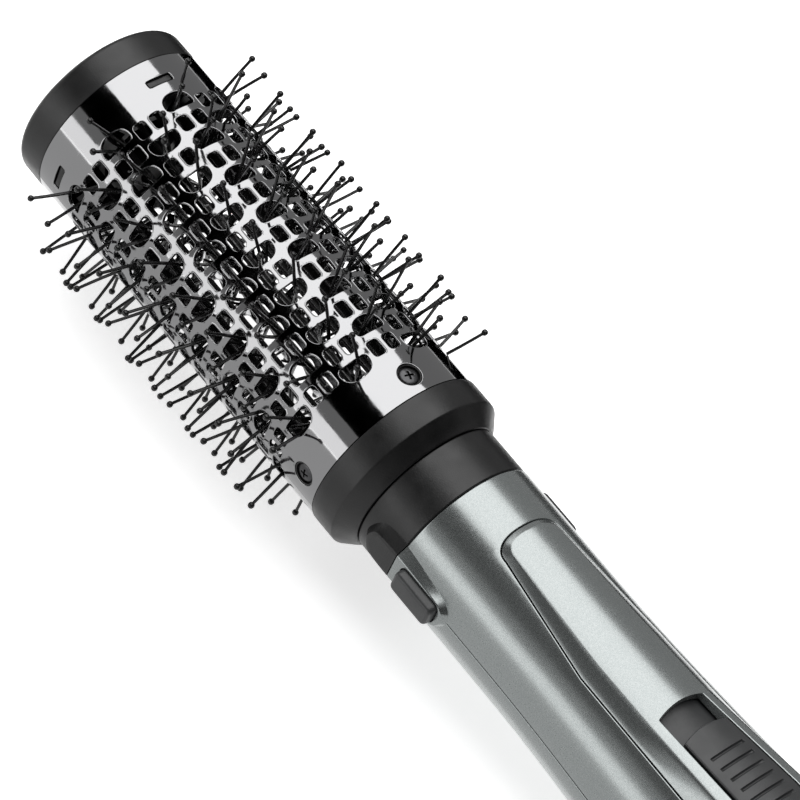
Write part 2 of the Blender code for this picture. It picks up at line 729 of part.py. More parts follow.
def build_shells(parent, materials):
    """Upper and lower half, their screw posts, and the pocket and opening for the switch."""
    upper = half_shell("upper_shell", True, parent, materials["silver"])
    boolean(upper, panel_mesh(1.5 * GAP, -PANEL_DEPTH - 1.5 * GAP, GAP + 2.0, 3.0), parent)
    boolean(upper, curved_plate(GUIDE_START_X, GUIDE_END_X, SLIDER_BASE_ANGLE + 1.3, -4.0, 3.0), parent)
    boolean(upper, screw_posts(0.03, 1.0), parent, "UNION")
    boolean(upper, screw_bores(SHANK_RADIUS + GAP, lambda seat: -1.0, lambda seat: SHANK_TOP + 0.6), parent)
    lower = half_shell("lower_shell", False, parent, materials["silver"])
    boolean(lower, screw_posts(-1.0, -0.03), parent, "UNION")
    boolean(lower, screw_bores(SHANK_RADIUS + GAP, lambda seat: seat - 1.0, lambda seat: 1.0), parent)
    boolean(lower, screw_bores(SHELL_HEAD_RADIUS + GAP, lambda seat: -30.0, lambda seat: seat + GAP), parent)
    for index, (x, across, _, seat) in enumerate(SHELL_SCREWS):
        build_screw("shell_screw_{}".format(index + 1), (x, across, seat), (0, 0, -1), SHELL_HEAD_RADIUS, 1.5,
                    SHANK_RADIUS, SHANK_TOP - seat, parent, materials["screw"])


def build_switch(parent, materials):
    """Inlay, thumb slider with grip grooves, contact block and circuit board."""
    panel = add_object("switch_panel", panel_mesh(0.0, -PANEL_DEPTH, 0.0, 0.0), materials["silver"], parent)
    boolean(panel, curved_plate(SLOT_START_X, SLOT_END_X, SLOT_ANGLE, -3.0, 6.0, FRONT_BULGE), parent)
    middle = Vector((0.5 * (SLIDER_START_X + SLIDER_END_X), 0.0, shell_radius(106.0)))
    base = curved_plate(SLIDER_BASE_START_X, SLIDER_BASE_END_X, SLIDER_BASE_ANGLE, SLIDER_BASE_LOW,
                        SLIDER_BASE_TOP)
    slider = add_object("slide_switch", base, materials["dark_plastic"], parent, middle)
    thumb = curved_plate(SLIDER_START_X, SLIDER_END_X, SLIDER_ANGLE, SLIDER_BASE_LOW + 0.4,
                         PANEL_RAISE + SLIDER_RAISE, FRONT_BULGE, 1.0)
    boolean(slider, thumb, parent, "UNION")
    boolean(slider, block((104.0, -2.0, 17.2), (108.0, 2.0, 21.0)), parent, "UNION")
    grooves = []
    for index in range(GRIP_COUNT):
        x = GRIP_FIRST_X + index * GRIP_PITCH
        top = shell_radius(x) + panel_raise(x) + SLIDER_RAISE
        low = (x, -GRIP_HALF_LENGTH, top - GRIP_DEPTH)
        grooves.append(block(low, (x + GRIP_WIDTH, GRIP_HALF_LENGTH, top + 2.0)))
    boolean(slider, merge(grooves), parent)
    body = add_object("switch_body", block((90.0, -5.0, 17.0), (126.0, 5.0, 18.6)),
                      materials["black_plastic"], parent)
    boolean(body, block((95.0, -2.6, 15.0), (112.0, 2.6, 20.0)), parent)
    add_object("circuit_board", block((52.0, -7.0, 14.6), (86.0, 7.0, 16.2)), materials["board"], parent)


# ---------------------------------------------------------------- nozzle, buttons

def build_nozzle(parent, material):
    """Spigot, visible neck and the skirt that holds the heater, one turned moulding."""
    outline = [(SPIGOT_X, NOZZLE_BORE), (SPIGOT_X, SPIGOT_RADIUS - 0.6), (SPIGOT_X + 0.6, SPIGOT_RADIUS),
               (0.0, SPIGOT_RADIUS), (0.0, NECK_RADIUS - 0.3), (0.3, NECK_RADIUS),
               (SHELL_FRONT_X, NECK_RADIUS), (SHELL_FRONT_X, NOZZLE_BORE), (46.0, NOZZLE_BORE),
               (46.0, NOZZLE_BORE - 1.4), (4.0, NOZZLE_BORE - 1.4), (0.0, NOZZLE_BORE)]
    nozzle = add_object("outlet_nozzle", turned(outline), material, parent)
    for side in (-1, 1):
        pad = pad_mesh(side)
        clip(pad, (SHELL_FRONT_X, 0.0, 0.0), (1.0, 0.0, 0.0))
        boolean(nozzle, pad, parent, "UNION")
        boolean(nozzle, button_slot(side), parent)


def button_slot(side):
    """The channel for a latch arm through the neck and along the spigot."""
    front, half_width, low, high = LATCH_CHANNEL
    near = min(side * low, side * high)
    far = max(side * low, side * high)
    return block((front, near, -half_width), (SHELL_FRONT_X + 6.0, far, half_width))


def build_button(name, side, parent, material):
    """Domed cap, retaining flange and latch arm; the spring pocket opens towards the axis."""
    origin = (BUTTON_X, side * BUTTON_TOP, 0.0)
    half_length = BUTTON_LENGTH / 2
    half_width = BUTTON_WIDTH / 2
    levels = [(BUTTON_BASE, 1.5, 1.5), (BUTTON_FLANGE_TOP, 1.5, 1.5), (BUTTON_FLANGE_TOP, 0.0, 0.0),
              (BUTTON_TOP - 1.2, 0.0, 0.0), (BUTTON_TOP, -0.9, -0.9)]
    bm = bmesh.new()
    rings = []
    for level, grow_x, grow_z in levels:
        a = half_length + grow_x
        b = half_width + grow_z
        c = 1.6
        outline = [(a, -b + c), (a, b - c), (a - c, b), (-a + c, b), (-a, b - c), (-a, -b + c), (-a + c, -b),
                   (a - c, -b)]
        rings.append([bm.verts.new((BUTTON_X + x, side * level, z)) for x, z in outline])
    loft(bm, rings)
    button = add_object(name, bm, material, parent, origin)
    arm = prism([(x, side * y, -LATCH_HALF_WIDTH) for x, y in LATCH_ARM], (0.0, 0.0, 2 * LATCH_HALF_WIDTH))
    boolean(button, arm, parent, "UNION")
    pocket = rod((SPRING_X, side * (SPRING_START - 0.95), 0.0), (0, side, 0), SPRING_RADIUS + 0.8, 6.8, 12)
    boolean(button, pocket, parent)


def helix(center, axis, radius, wire, length, turns, steps, sides=4):
    """A coil of wire as one closed tube about an axis."""
    direction = Vector(axis).normalized()
    side = direction.orthogonal().normalized()
    other = direction.cross(side)
    bm = bmesh.new()
    rings = []
    total = int(turns * steps)
    for index in range(total + 1):
        angle = 2 * math.pi * index / steps
        spoke = math.cos(angle) * side + math.sin(angle) * other
        middle = Vector(center) + direction * (length * index / total) + radius * spoke
        ring = []
        for corner in range(sides):
            turn = 2 * math.pi * (corner + 0.5) / sides
            ring.append(bm.verts.new(middle + wire * (math.cos(turn) * spoke + math.sin(turn) * direction)))
        rings.append(ring)
    loft(bm, rings)
    return bm


def build_buttons(parent, materials):
    """Release buttons on both sides with their return springs, drawn at their pressed length."""
    for label, side in (("left", -1), ("right", 1)):
        build_button("release_button_" + label, side, parent, materials["dark_plastic"])
        start = (SPRING_X, side * SPRING_START, 0.0)
        spring = helix(start, (0, side, 0), SPRING_RADIUS, SPRING_WIRE, SPRING_LENGTH, SPRING_TURNS, 8, 3)
        add_object("button_spring_" + label, spring, materials["steel"], parent)


# ---------------------------------------------------------------- heater, fan, motor, tail

def build_heater(parent, materials):
    """Mica liner and crossed mica plates with the heating coil, thermostat and fuse."""
    start, end, inner, outer = LINER
    liner = [(start, inner), (start, outer), (end, outer), (end, inner)]
    add_object("heater_liner", turned(liner, DUCT_SEGMENTS), materials["mica"], parent)
    arm = MICA_REACH
    thin = MICA_HALF_THICKNESS
    cross = [(arm, thin), (thin, thin), (thin, arm), (-thin, arm), (-thin, thin), (-arm, thin), (-arm, -thin),
             (-thin, -thin), (-thin, -arm), (thin, -arm), (thin, -thin), (arm, -thin)]
    bm = prism([(MICA_START_X, y, z) for y, z in cross], (MICA_LENGTH, 0.0, 0.0))
    add_object("heater_frame", bm, materials["mica"], parent)
    coil = helix((COIL_START_X, 0, 0), (1, 0, 0), COIL_RADIUS, COIL_WIRE, COIL_LENGTH, COIL_TURNS, 14, 3)
    add_object("heater_coil", coil, materials["steel"], parent)
    add_object("thermostat", block((22.0, 1.0, 1.0), (32.0, 6.6, 6.6)), materials["steel"], parent)
    add_object("thermal_fuse", rod((36.0, -3.2, -3.2), (1, 0, 0), 1.6, 12.0, 10), materials["steel"], parent)


def build_fan_and_motor(parent, materials):
    """Fan duct, axial fan on the motor shaft, motor and the spoked mount that holds it."""
    add_object("fan_housing", turned(DUCT, DUCT_SEGMENTS), materials["black_plastic"], parent)
    middle = (FAN_X, 0.0, 0.0)
    fan = add_object("fan", turned(FAN_HUB, 14), materials["black_plastic"], parent, middle)
    blades = []
    to_middle = Matrix.Translation(middle)
    for index in range(FAN_BLADES):
        blade = block((FAN_X - 4.4, -0.6, 4.4), (FAN_X + 4.4, 0.6, FAN_TIP_RADIUS))
        pitch = to_middle @ Matrix.Rotation(BLADE_PITCH, 4, "Z") @ to_middle.inverted()
        turn = Matrix.Rotation(2 * math.pi * index / FAN_BLADES, 4, "X")
        bmesh.ops.transform(blade, matrix=turn @ pitch, verts=blade.verts)
        blades.append(blade)
    boolean(fan, merge(blades), parent, "UNION")
    shaft = rod((SHAFT_START_X, 0, 0), (1, 0, 0), SHAFT_RADIUS, SHAFT_LENGTH, 8)
    add_object("motor_shaft", shaft, materials["steel"], parent, middle)
    add_object("motor_can", turned(CAN, DUCT_SEGMENTS), materials["steel"], parent)
    add_object("motor_magnets", turned(MAGNETS, DUCT_SEGMENTS), materials["mica"], parent)
    add_object("motor_armature", turned(ARMATURE, 12), materials["copper"], parent, middle)
    add_object("motor_end_bell", turned(END_BELL, DUCT_SEGMENTS), materials["black_plastic"], parent)
    bm = bmesh.new()
    rings = []
    step = 360.0 / MOUNT_SECTIONS
    for index in range(MOUNT_SECTIONS):
        radius = MOUNT_SPOKE if index % 5 in (0, 1) else MOUNT_RING
        corners = [(MOUNT_START_X, MOUNT_BORE), (MOUNT_START_X, radius), (MOUNT_END_X, radius),
                   (MOUNT_END_X, MOUNT_BORE)]
        rings.append([bm.verts.new(polar(x, r, (index + 0.5) * step)) for x, r in corners])
    loft(bm, rings, closed=True)
    add_object("motor_mount", bm, materials["black_plastic"], parent)


def build_tail(parent, materials):
    """Bulkhead with the swivelling cord gland, and the lift-off filter cover over it."""
    end = BULKHEAD_X + BULKHEAD_THICKNESS
    rim = shell_radius(BULKHEAD_X) - WALL - 2 * GAP
    disc = [(BULKHEAD_X, GLAND_CLEARANCE_BORE), (BULKHEAD_X, rim), (end, rim), (end, GLAND_CLEARANCE_BORE)]
    bulkhead = add_object("rear_bulkhead", turned(disc), materials["black_plastic"], parent)
    turn = 360.0 / AIR_HOLES
    holes = [rod(polar(BULKHEAD_X - 8.0, AIR_HOLE_PLACE, index * turn), (1, 0, 0), AIR_HOLE_RADIUS, 20.0, 6)
             for index in range(AIR_HOLES)]
    boolean(bulkhead, merge(holes), parent)
    add_object("cord_gland", turned(GLAND, 16), materials["black_plastic"], parent, (BULKHEAD_X, 0.0, 0.0))
    add_object("gland_clip", turned(GLAND_CLIP, 16), materials["steel"], parent)
    radius = shell_radius(SHELL_REAR_X)
    cover = [(SHELL_REAR_X + GAP, radius - 2.0), (SHELL_REAR_X + GAP, radius),
             (TAIL_END_X - 4.0, radius - 0.3), (TAIL_END_X - 1.2, radius - 1.6), (TAIL_END_X, TAIL_RADIUS), (TAIL_END_X, COVER_BORE),
             (TAIL_END_X - 2.0, COVER_BORE), (TAIL_END_X - 2.0, TAIL_RADIUS - 1.0),
             (TAIL_END_X - 4.0, radius - 2.2)]
    filter_cover = add_object("filter_cover", turned(cover), materials["dark_plastic"], parent)
    slots = []
    for index in range(COVER_SLOTS):
        bar = block((TAIL_END_X - 9.0, -1.0, SLOT_FROM), (TAIL_END_X + 6.0, 1.0, SLOT_TO))
        turn = Matrix.Rotation(2 * math.pi * (index + 0.5) / COVER_SLOTS, 4, "X")
        bmesh.ops.transform(bar, matrix=turn, verts=bar.verts)
        slots.append(bar)
    boolean(filter_cover, merge(slots), parent)
    end = FILTER_X + FILTER_THICKNESS
    bore = COVER_BORE + 0.2
    mesh = [(FILTER_X, bore), (FILTER_X, radius - 2.6), (end, radius - 2.6), (end, bore)]
    add_object("filter_mesh", turned(mesh, DUCT_SEGMENTS), materials["steel"], parent)


# ---------------------------------------------------------------- assembly

def join_flat_faces():
    """Drop the needless edges that the Booleans leave on flat faces."""
    for item in bpy.context.scene.objects:
        if item.type == "MESH" and item.modifiers:
            modifier = item.modifiers.new("join_flat_faces", "DECIMATE")
            modifier.decimate_type = "DISSOLVE"
            modifier.angle_limit = math.radians(0.2)


def rest_pose():
    """Tilt about Y and height of the tool frame with the bottom pins and the tail edge on z = 0."""
    pin_x = FIRST_HOLE_X + (PERIODS - 1) * HOLE_PITCH + TIP_LEAN
    pin_drop = math.sqrt(TIP_RADIUS ** 2 - TIP_SPLAY ** 2) + 0.1
    tail_x = TAIL_END_X - 4.0
    tail_drop = (shell_radius(SHELL_REAR_X) - 0.3) * math.cos(math.pi / HANDLE_SEGMENTS)
    tilt = math.atan2(pin_drop - tail_drop, tail_x - pin_x)
    height = pin_x * math.sin(tilt) + pin_drop * math.cos(tilt)
    return tilt, height


def lay_down(frame):
    """Place the tool frame so that the object stands on z = 0 with its box centred on the origin."""
    tilt, height = rest_pose()
    frame.rotation_euler = (0.0, tilt, 0.0)
    frame.location = (0.0, 0.0, height * MM)
    bpy.context.view_layer.update()
    low = Vector((math.inf, math.inf, math.inf))
    high = -low
    graph = bpy.context.evaluated_depsgraph_get()
    for item in bpy.context.scene.objects:
        if item.type != "MESH" or item.hide_render:
            continue
        shape = item.evaluated_get(graph)
        for vertex in shape.data.vertices:
            point = shape.matrix_world @ vertex.co
            low = Vector(map(min, low, point))
            high = Vector(map(max, high, point))
    frame.location.x -= (low.x + high.x) / 2
    frame.location.y -= (low.y + high.y) / 2
    frame.location.z -= low.z


def main():
    clear_scene()
    materials = {
        "chrome": make_material("dark_chrome", (0.42, 0.42, 0.43), 0.12, 1.0),
        "black_plastic": make_material("black_plastic", (0.035, 0.035, 0.036), 0.45),
        "dark_plastic": make_material("dark_grey_plastic", (0.10, 0.10, 0.10), 0.4),
        "nylon": make_material("black_nylon", (0.015, 0.015, 0.015), 0.35),
        "silver": make_material("metallic_grey_paint", (0.42, 0.44, 0.44), 0.35, 0.7),
        "screw": make_material("dark_screw", (0.12, 0.12, 0.12), 0.4, 0.9),
        "steel": make_material("steel", (0.6, 0.6, 0.6), 0.35, 1.0),
        "mica": make_material("mica", (0.55, 0.5, 0.4), 0.6),
        "board": make_material("circuit_board", (0.12, 0.25, 0.12), 0.5),
        "copper": make_material("copper_winding", (0.6, 0.3, 0.15), 0.35, 1.0),
    }
    frame = bpy.data.objects.new("tool_frame", None)
    bpy.context.scene.collection.objects.link(frame)
    build_head(frame, materials)
    build_nozzle(frame, materials["black_plastic"])
    build_buttons(frame, materials)
    build_shells(frame, materials)
    build_switch(frame, materials)
    build_heater(frame, materials)
    build_fan_and_motor(frame, materials)
    build_tail(frame, materials)
    join_flat_faces()
    lay_down(frame)


main()
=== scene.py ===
"""Looks of the hot air brush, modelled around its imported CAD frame.

The finer meshes are laid out in the tool's own frame, in millimetres: X runs along the tool axis from
the brush tip (negative) to the cord end, Z points out of the switch side, and X = 0 is where the head
seats on the handle. The frame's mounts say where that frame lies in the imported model.
"""

import json
import math
import random

import bmesh
import bpy
import numpy as np
from mathutils import Euler, Matrix, Vector, geometry


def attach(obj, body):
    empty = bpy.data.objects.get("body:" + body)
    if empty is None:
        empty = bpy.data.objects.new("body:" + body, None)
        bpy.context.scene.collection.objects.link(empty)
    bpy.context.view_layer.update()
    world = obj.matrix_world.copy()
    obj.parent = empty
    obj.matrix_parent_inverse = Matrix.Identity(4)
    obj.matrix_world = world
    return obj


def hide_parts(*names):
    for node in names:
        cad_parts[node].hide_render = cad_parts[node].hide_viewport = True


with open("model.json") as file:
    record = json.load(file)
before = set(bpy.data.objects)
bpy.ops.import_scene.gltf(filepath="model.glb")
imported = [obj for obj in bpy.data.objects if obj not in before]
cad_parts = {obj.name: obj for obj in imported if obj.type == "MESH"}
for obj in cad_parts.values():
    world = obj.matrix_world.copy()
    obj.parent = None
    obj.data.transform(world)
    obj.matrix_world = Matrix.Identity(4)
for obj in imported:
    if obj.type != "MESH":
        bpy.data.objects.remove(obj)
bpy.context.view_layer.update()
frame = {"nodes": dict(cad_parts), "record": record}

MM = 0.001
SEGMENTS = 144

# Brush head
COLUMNS = 16
PERIODS = 7
COLUMN_STEP = 360.0 / COLUMNS
HOLE_PITCH = 12.77
FIRST_HOLE_X = -111.7
STAGGER = 8.9
HEAD_TIP_X = -134.9
BARREL_FRONT_X = -125.2
BARREL_REAR_X = -12.8
BARREL_RADIUS = 25.0
BARREL_WALL = 0.85
COLLAR_RADIUS = 25.2
CONE_START_X = -4.5
COLLAR_BORE = 17.6
DOME_WIDTH = 8.5
DOME_LENGTH = 4.9
DOME_CORNER = 1.1
DOME_POWER = 0.8
SQUARE_WIDTH = 3.5
SQUARE_LENGTH = 4.65
SQUARE_CORNER = 0.95
SQUARE_ASIDE = 2.4
SQUARE_OFFSET = {True: 6.8, False: -6.5}
LUG_X = -118.7
LUG_LENGTH = 2.3
LUG_WIDTH = 7.8
LUG_CORNER = 0.5
SCREW_X = -18.1
SCREW_HEAD_RADIUS = 2.55
SCREW_SEAT_RADIUS = 3.2
SCREW_HEAD_HEIGHT = 1.9
BOSS_RADIUS = 2.92
BOSS_FOOT_RADIUS = 2.76
SLEEVE_START_X = -23.4
HOLE_STEP = 0.62
TILE_STEP = 0.98

# Rolled rim around every hole of the barrel: distance from the edge of the hole, height
HOLE_RIM = ((0.44, 0.0), (0.36, 0.005), (0.26, 0.045), (0.15, 0.06), (0.06, 0.02), (0.0, -0.08), (0.0, -0.45))

# Bristles
TIP_RADIUS = 36.95
BALL_RADIUS = 0.9
PIN_RADIUS = 0.45
RAIL_BOTTOM = 14.0
RAIL_TOP = 16.6
RAIL_WIDTH = 1.3
RAIL_FRONT_X = -122.0
RAIL_REAR_X = -17.0
ROOT_LEAN = 0.2
ROOT_SPLAY = 0.55
TIP_LEAN = (2.0, 4.4)
TIP_SPLAY = (0.6, 4.0)
TIP_SHORT = 0.5
BRACE_RADIUS = 23.4
BRACE_PLACES = (0.15, 0.4, 0.65, 0.9)
BRISTLE_SEED = 4100

# Handle
SPIGOT_X = -16.0
SPIGOT_RADIUS = 17.2
NECK_RADIUS = 20.7
SHELL_FRONT_X = 13.1
SHELL_REAR_X = 185.0
SHELL_RADIUS = 20.9
SWELL = 3.9
SWELL_START_X = 50.0
SWELL_LENGTH = 100.0
TAIL_TAPER = 1.2
WALL = 2.0
GAP = 0.3
TAIL_END_X = 199.0
SHELL_SCREWS = ((62.0, -16.2, -5.0), (62.0, 16.2, -5.0), (166.0, -17.0, -9.0), (166.0, 17.0, -9.0))
SHELL_SCREW_RADIUS = 2.0
SHELL_SCREW_HEIGHT = 1.5
WELL_BORE = 2.3
WELL_HOLE = 2.45
WELL_RADIUS = 3.2

# Release buttons and the raised pads around them
BUTTON_X = 22.8
BUTTON_LENGTH = 13.4
BUTTON_WIDTH = 6.6
BUTTON_TOP = 24.9
BUTTON_FLANGE_TOP = 17.4
BUTTON_BASE = 16.5
BUTTON_CORNER = 1.5
BUTTON_CROWN = 0.12
WINDOW_CORNER = 1.9
NOTCH_START_X = 15.6
NOTCH_END_X = 30.2
NOTCH_DEPTH = 3.8
PAD_FOOT = ((1.2, 0.0), (2.6, 3.6), (5.2, 6.0), (10.0, 6.85), (18.0, 6.5), (25.0, 5.7), (29.6, 4.8),
            (32.5, 2.9), (33.6, 0.0))
PAD_CROWN = ((3.6, 0.0), (4.2, 2.2), (5.6, 3.8), (10.0, 4.3), (18.0, 4.25), (25.0, 4.2), (28.6, 3.95),
             (30.7, 2.5), (31.4, 0.0))
PAD_ROOT = 18.2
PAD_FOOT_LEVEL = 19.7
PAD_TOP = 22.3

# Switch panel and slider; half widths are angles about the tool axis
PANEL_START_X = 28.0
PANEL_FULL_X = 66.0
PANEL_END_X = 176.0
PANEL_EDGE_FRONT = 24.5
PANEL_EDGE = 37.5
PANEL_CREST_FRONT = 20.0
PANEL_CREST = 25.5
PANEL_NOSE = 5.0
PANEL_CREST_NOSE = 4.4
PANEL_TAIL = 7.0
PANEL_TAPER_X = 150.0
PANEL_TAPER = 0.35
NOSE_POWER = 0.72
TAIL_POWER = 0.8
PANEL_RAISE = 0.9
PANEL_DEPTH = 1.0
RAMP_START_X = 84.0
RAMP_END_X = 116.0
RAMP_SLOPE = 0.076
RAMP_FALL_X = 130.0
SLOT_START_X = 84.4
SLOT_END_X = 123.0
SLOT_ANGLE = 18.5
FRONT_BULGE = 1.2
SLIDER_START_X = 92.7
SLIDER_END_X = 122.4
SLIDER_ANGLE = 16.8
SLIDER_BASE_START_X = 84.0
SLIDER_BASE_END_X = 129.6
SLIDER_BASE_ANGLE = 22.5
SLIDER_BASE_LOW = -2.8
SLIDER_BASE_TOP = -1.8
GRIP_PITCH = 3.34
GRIP_COUNT = 6
GRIP_FIRST_X = 100.85
GRIP_HALF_WIDTH = 0.5
GRIP_DEPTH = 0.8
GRIP_HALF_LENGTH = 5.4

# Tail
COVER_FACE_RADIUS = 19.2
COVER_THICKNESS = 2.0
COVER_INSET = 0.2
GLAND_HOLE = 5.6
VENT_COUNT = 12
VENT_RADIUS = 13.25
VENT_LENGTH = 8.5
VENT_WIDTH = 2.0
MESH_X = 188.0
MESH_DEPTH = 0.6
MESH_WIRE = 0.11
MESH_PITCH = 0.9
MESH_HOLE = 6.2
GLAND_FLANGE_X = 173.0
GLAND_FLANGE_END_X = 177.7
GLAND_FLANGE_RADIUS = 7.4
GLAND_RADIUS = 5.0
GLAND_BORE = 3.6
GLAND_END_X = 207.0
GLAND_RIBS_X = 200.2
GLAND_RIB_PITCH = 2.0

# Studio, in metres, degrees about the tool and watts
STUDIO_CENTER_X = -0.06
SOFT_BOX_DISTANCE = 1.1
SOFT_BOX_SHIFT = -0.36
SOFT_BOX_LENGTH = 2.0
KEY_ANGLE = 10.0
KEY_WIDTH = 1.25
KEY_POWER = 17.0
FILL_ANGLE = -93.0
FILL_WIDTH = 0.8
FILL_POWER = 8.5
FLAG_ANGLE = -38.5
FLAG_DISTANCE = 0.85
FLAG_SHIFT = -0.28
FLAG_WIDTH = 0.56
FLAG_LENGTH = 2.2
FLOOR_SIZE = 12.0
CARD_HEIGHT = 0.003
CARD_LENGTH = 2.6
# glow of the grey card, seen only in reflections: a painted reflection
GREY_CARD_GLOW = 0.7
FLOOR_GLOW = 0.6
SURROUND = 0.3

# Camera, in the tool frame
CAMERA_PLACE = (275.97, -519.66, 730.51)
CAMERA_TURN = (36.783, -16.516, 50.262)
CAMERA_LENS = 174.17


# ---------------------------------------------------------------- the tool frame

def tool_frame(record):
    """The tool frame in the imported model, in metres, from the flat face at the brush tip."""
    tip = next(mount for mount in record["mounts"] if mount["name"] == "tip_face")
    axis = -Vector(tip["axis"])
    up = Vector((-axis.z, 0.0, axis.x))
    origin = Vector(tip["pos_m"]) - axis * HEAD_TIP_X * MM
    turn = Matrix((axis, up.cross(axis), up)).transposed().to_4x4()
    return Matrix.Translation(origin) @ turn


TOOL = tool_frame(frame["record"])


def polar(x, radius, degrees):
    """A point about the tool axis; the angle runs from the switch side towards +Y."""
    angle = math.radians(degrees)
    return Vector((x, radius * math.sin(angle), radius * math.cos(angle)))


# ---------------------------------------------------------------- meshes

class Form:
    """Points in tool millimetres and faces, gathered before they become a piece."""

    def __init__(self):
        self.points = []
        self.faces = []

    def ring(self, points):
        """Add points; gives back their indices."""
        start = len(self.points)
        self.points.extend(Vector(point) for point in points)
        return list(range(start, len(self.points)))

    def bridge(self, first, second, closed=True):
        """Quads between two equal rows of points."""
        count = len(first)
        for index in range(count if closed else count - 1):
            after = (index + 1) % count
            self.faces.append((first[index], first[after], second[after], second[index]))

    def skin(self, rows, around=False):
        """Quads between each closed row of points and the next, and back to the first row."""
        following = rows[1:] + rows[:1] if around else rows[1:]
        for first, second in zip(rows, following):
            self.bridge(first, second)

    def loft(self, rings, caps=True):
        """Skin a list of rings; the first and the last may be closed with a face."""
        rows = [self.ring(points) for points in rings]
        self.skin(rows)
        if caps:
            self.faces.append(tuple(rows[0]))
            self.faces.append(tuple(rows[-1]))
        return rows

    def rim(self, outline, profile, place):
        """Rings beside a flat outline, from (offset, level) pairs; a positive offset grows it."""
        rows = []
        for distance, level in profile:
            grown = offset(outline, distance)
            rows.append(self.ring([place(u, v, level) for u, v in grown]))
        self.skin(rows)
        return rows

    def fill(self, loops, rows, spacing, place, level=0.0):
        """Triangles inside the first flat outline and outside the others, whose points exist already."""
        fixed = np.array([point for loop in loops for point in loop])
        known = [index for row in rows for index in row]
        inner = even_points(loops, fixed, spacing)
        known += self.ring([place(u, v, level) for u, v in inner])
        corners = [Vector(point) for point in fixed] + [Vector(point) for point in inner]
        edges = []
        start = 0
        for loop in loops:
            count = len(loop)
            edges += [(start + index, start + (index + 1) % count) for index in range(count)]
            start += count
        _, _, faces, sources, _, _ = geometry.delaunay_2d_cdt(corners, edges, [], 0, 1e-7)
        flat = np.array([corners[source[0]] for source in sources])
        middles = np.array([flat[list(face)].mean(axis=0) for face in faces])
        wanted = inside(middles, loops[0])
        for loop in loops[1:]:
            wanted &= ~inside(middles, loop)
        for face, keep in zip(faces, wanted):
            if keep:
                self.faces.append(tuple(known[sources[corner][0]] for corner in face))

    def add(self, other, matrix=None):
        """Take in another form, moved by a matrix."""
        start = len(self.points)
        self.points += [matrix @ point if matrix else point for point in other.points]
        self.faces += [tuple(start + index for index in face) for face in other.faces]


def inside(points, outline):
    """Which points lie in a closed flat outline."""
    result = np.zeros(len(points), bool)
    corners = list(outline)
    for (x0, y0), (x1, y1) in zip(corners, corners[1:] + corners[:1]):
        if y0 == y1:
            continue
        crosses = (y0 > points[:, 1]) != (y1 > points[:, 1])
        edge = x0 + (points[:, 1] - y0) * (x1 - x0) / (y1 - y0)
        result ^= crosses & (points[:, 0] < edge)
    return result


def even_points(loops, fixed, spacing):
    """Evenly spread points inside the first outline, clear of every outline."""
    low = np.min(loops[0], axis=0)
    high = np.max(loops[0], axis=0)
    rows = []
    step = spacing * math.sqrt(3) / 2
    count = int((high[1] - low[1]) / step)
    for row in range(1, count + 1):
        along = np.arange(low[0] + spacing * (0.25 + 0.5 * (row % 2)), high[0], spacing)
        height = low[1] + row * (high[1] - low[1]) / (count + 1)
        rows.append(np.stack([along, np.full(len(along), height)], 1))
    if not rows:
        return []
    points = np.concatenate(rows)
    keep = inside(points, loops[0])
    for loop in loops[1:]:
        keep &= ~inside(points, loop)
    points = points[keep]
    near = np.full(len(points), np.inf)
    for corner in fixed:
        near = np.minimum(near, np.hypot(points[:, 0] - corner[0], points[:, 1] - corner[1]))
    return [tuple(point) for point in points[near > 0.6 * spacing]]


def offset(outline, distance):
    """Grow a closed anticlockwise outline by a distance, with mitred corners."""
    if distance == 0.0:
        return list(outline)
    points = [Vector(point) for point in outline]
    grown = []
    for before, here, after in zip(points[-1:] + points[:-1], points, points[1:] + points[:1]):
        first = (here - before).normalized()
        second = (after - here).normalized()
        normal = Vector((first.y + second.y, -first.x - second.x)) / (1.0 + first.dot(second))
        moved = here + normal * distance
        grown.append((moved.x, moved.y))
    return grown


def running_length(points):
    """Length of a line of points up to each of them."""
    lengths = [0.0]
    for first, second in zip(points, points[1:]):
        lengths.append(lengths[-1] + (second - first).length)
    return lengths


def even_steps(points, lengths, count, stop):
    """The first points of those that cut a line of points into a count of equal steps."""
    result = []
    place = 0
    for index in range(stop):
        target = lengths[-1] * index / count
        while place < len(lengths) - 2 and lengths[place + 1] < target:
            place += 1
        share = (target - lengths[place]) / (lengths[place + 1] - lengths[place])
        result.append(points[place].lerp(points[place + 1], share))
    return result


def resample(outline, spacing):
    """The same closed outline with points at even steps."""
    points = [Vector(point) for point in outline]
    points.append(points[0])
    lengths = running_length(points)
    count = max(8, round(lengths[-1] / spacing))
    return [(point.x, point.y) for point in even_steps(points, lengths, count, count)]


def subdivide(outline, spacing):
    """Add points along the sides of a closed outline and keep its corners."""
    result = []
    for first, second in zip(outline, outline[1:] + outline[:1]):
        start = Vector(first)
        step = Vector(second) - start
        count = max(1, math.ceil(step.length / spacing))
        for index in range(count):
            point = start + step * index / count
            result.append((point.x, point.y))
    return result


def rounded_rectangle(length, width, radius, steps=5):
    """An anticlockwise rectangle with its length along the first axis and quarter-round corners."""
    points = []
    for corner, (su, sv) in enumerate(((1, 1), (-1, 1), (-1, -1), (1, -1))):
        center = (su * (length / 2 - radius), sv * (width / 2 - radius))
        for step in range(steps + 1):
            angle = math.pi / 2 * (corner + step / steps)
            points.append((center[0] + radius * math.cos(angle), center[1] + radius * math.sin(angle)))
    return points


def moved(outline, u, v):
    """An outline shifted in its plane."""
    return [(a + u, b + v) for a, b in outline]


def circle(radius, count):
    """An anticlockwise circle as a flat outline."""
    turns = [2 * math.pi * index / count for index in range(count)]
    return [(radius * math.cos(turn), radius * math.sin(turn)) for turn in turns]


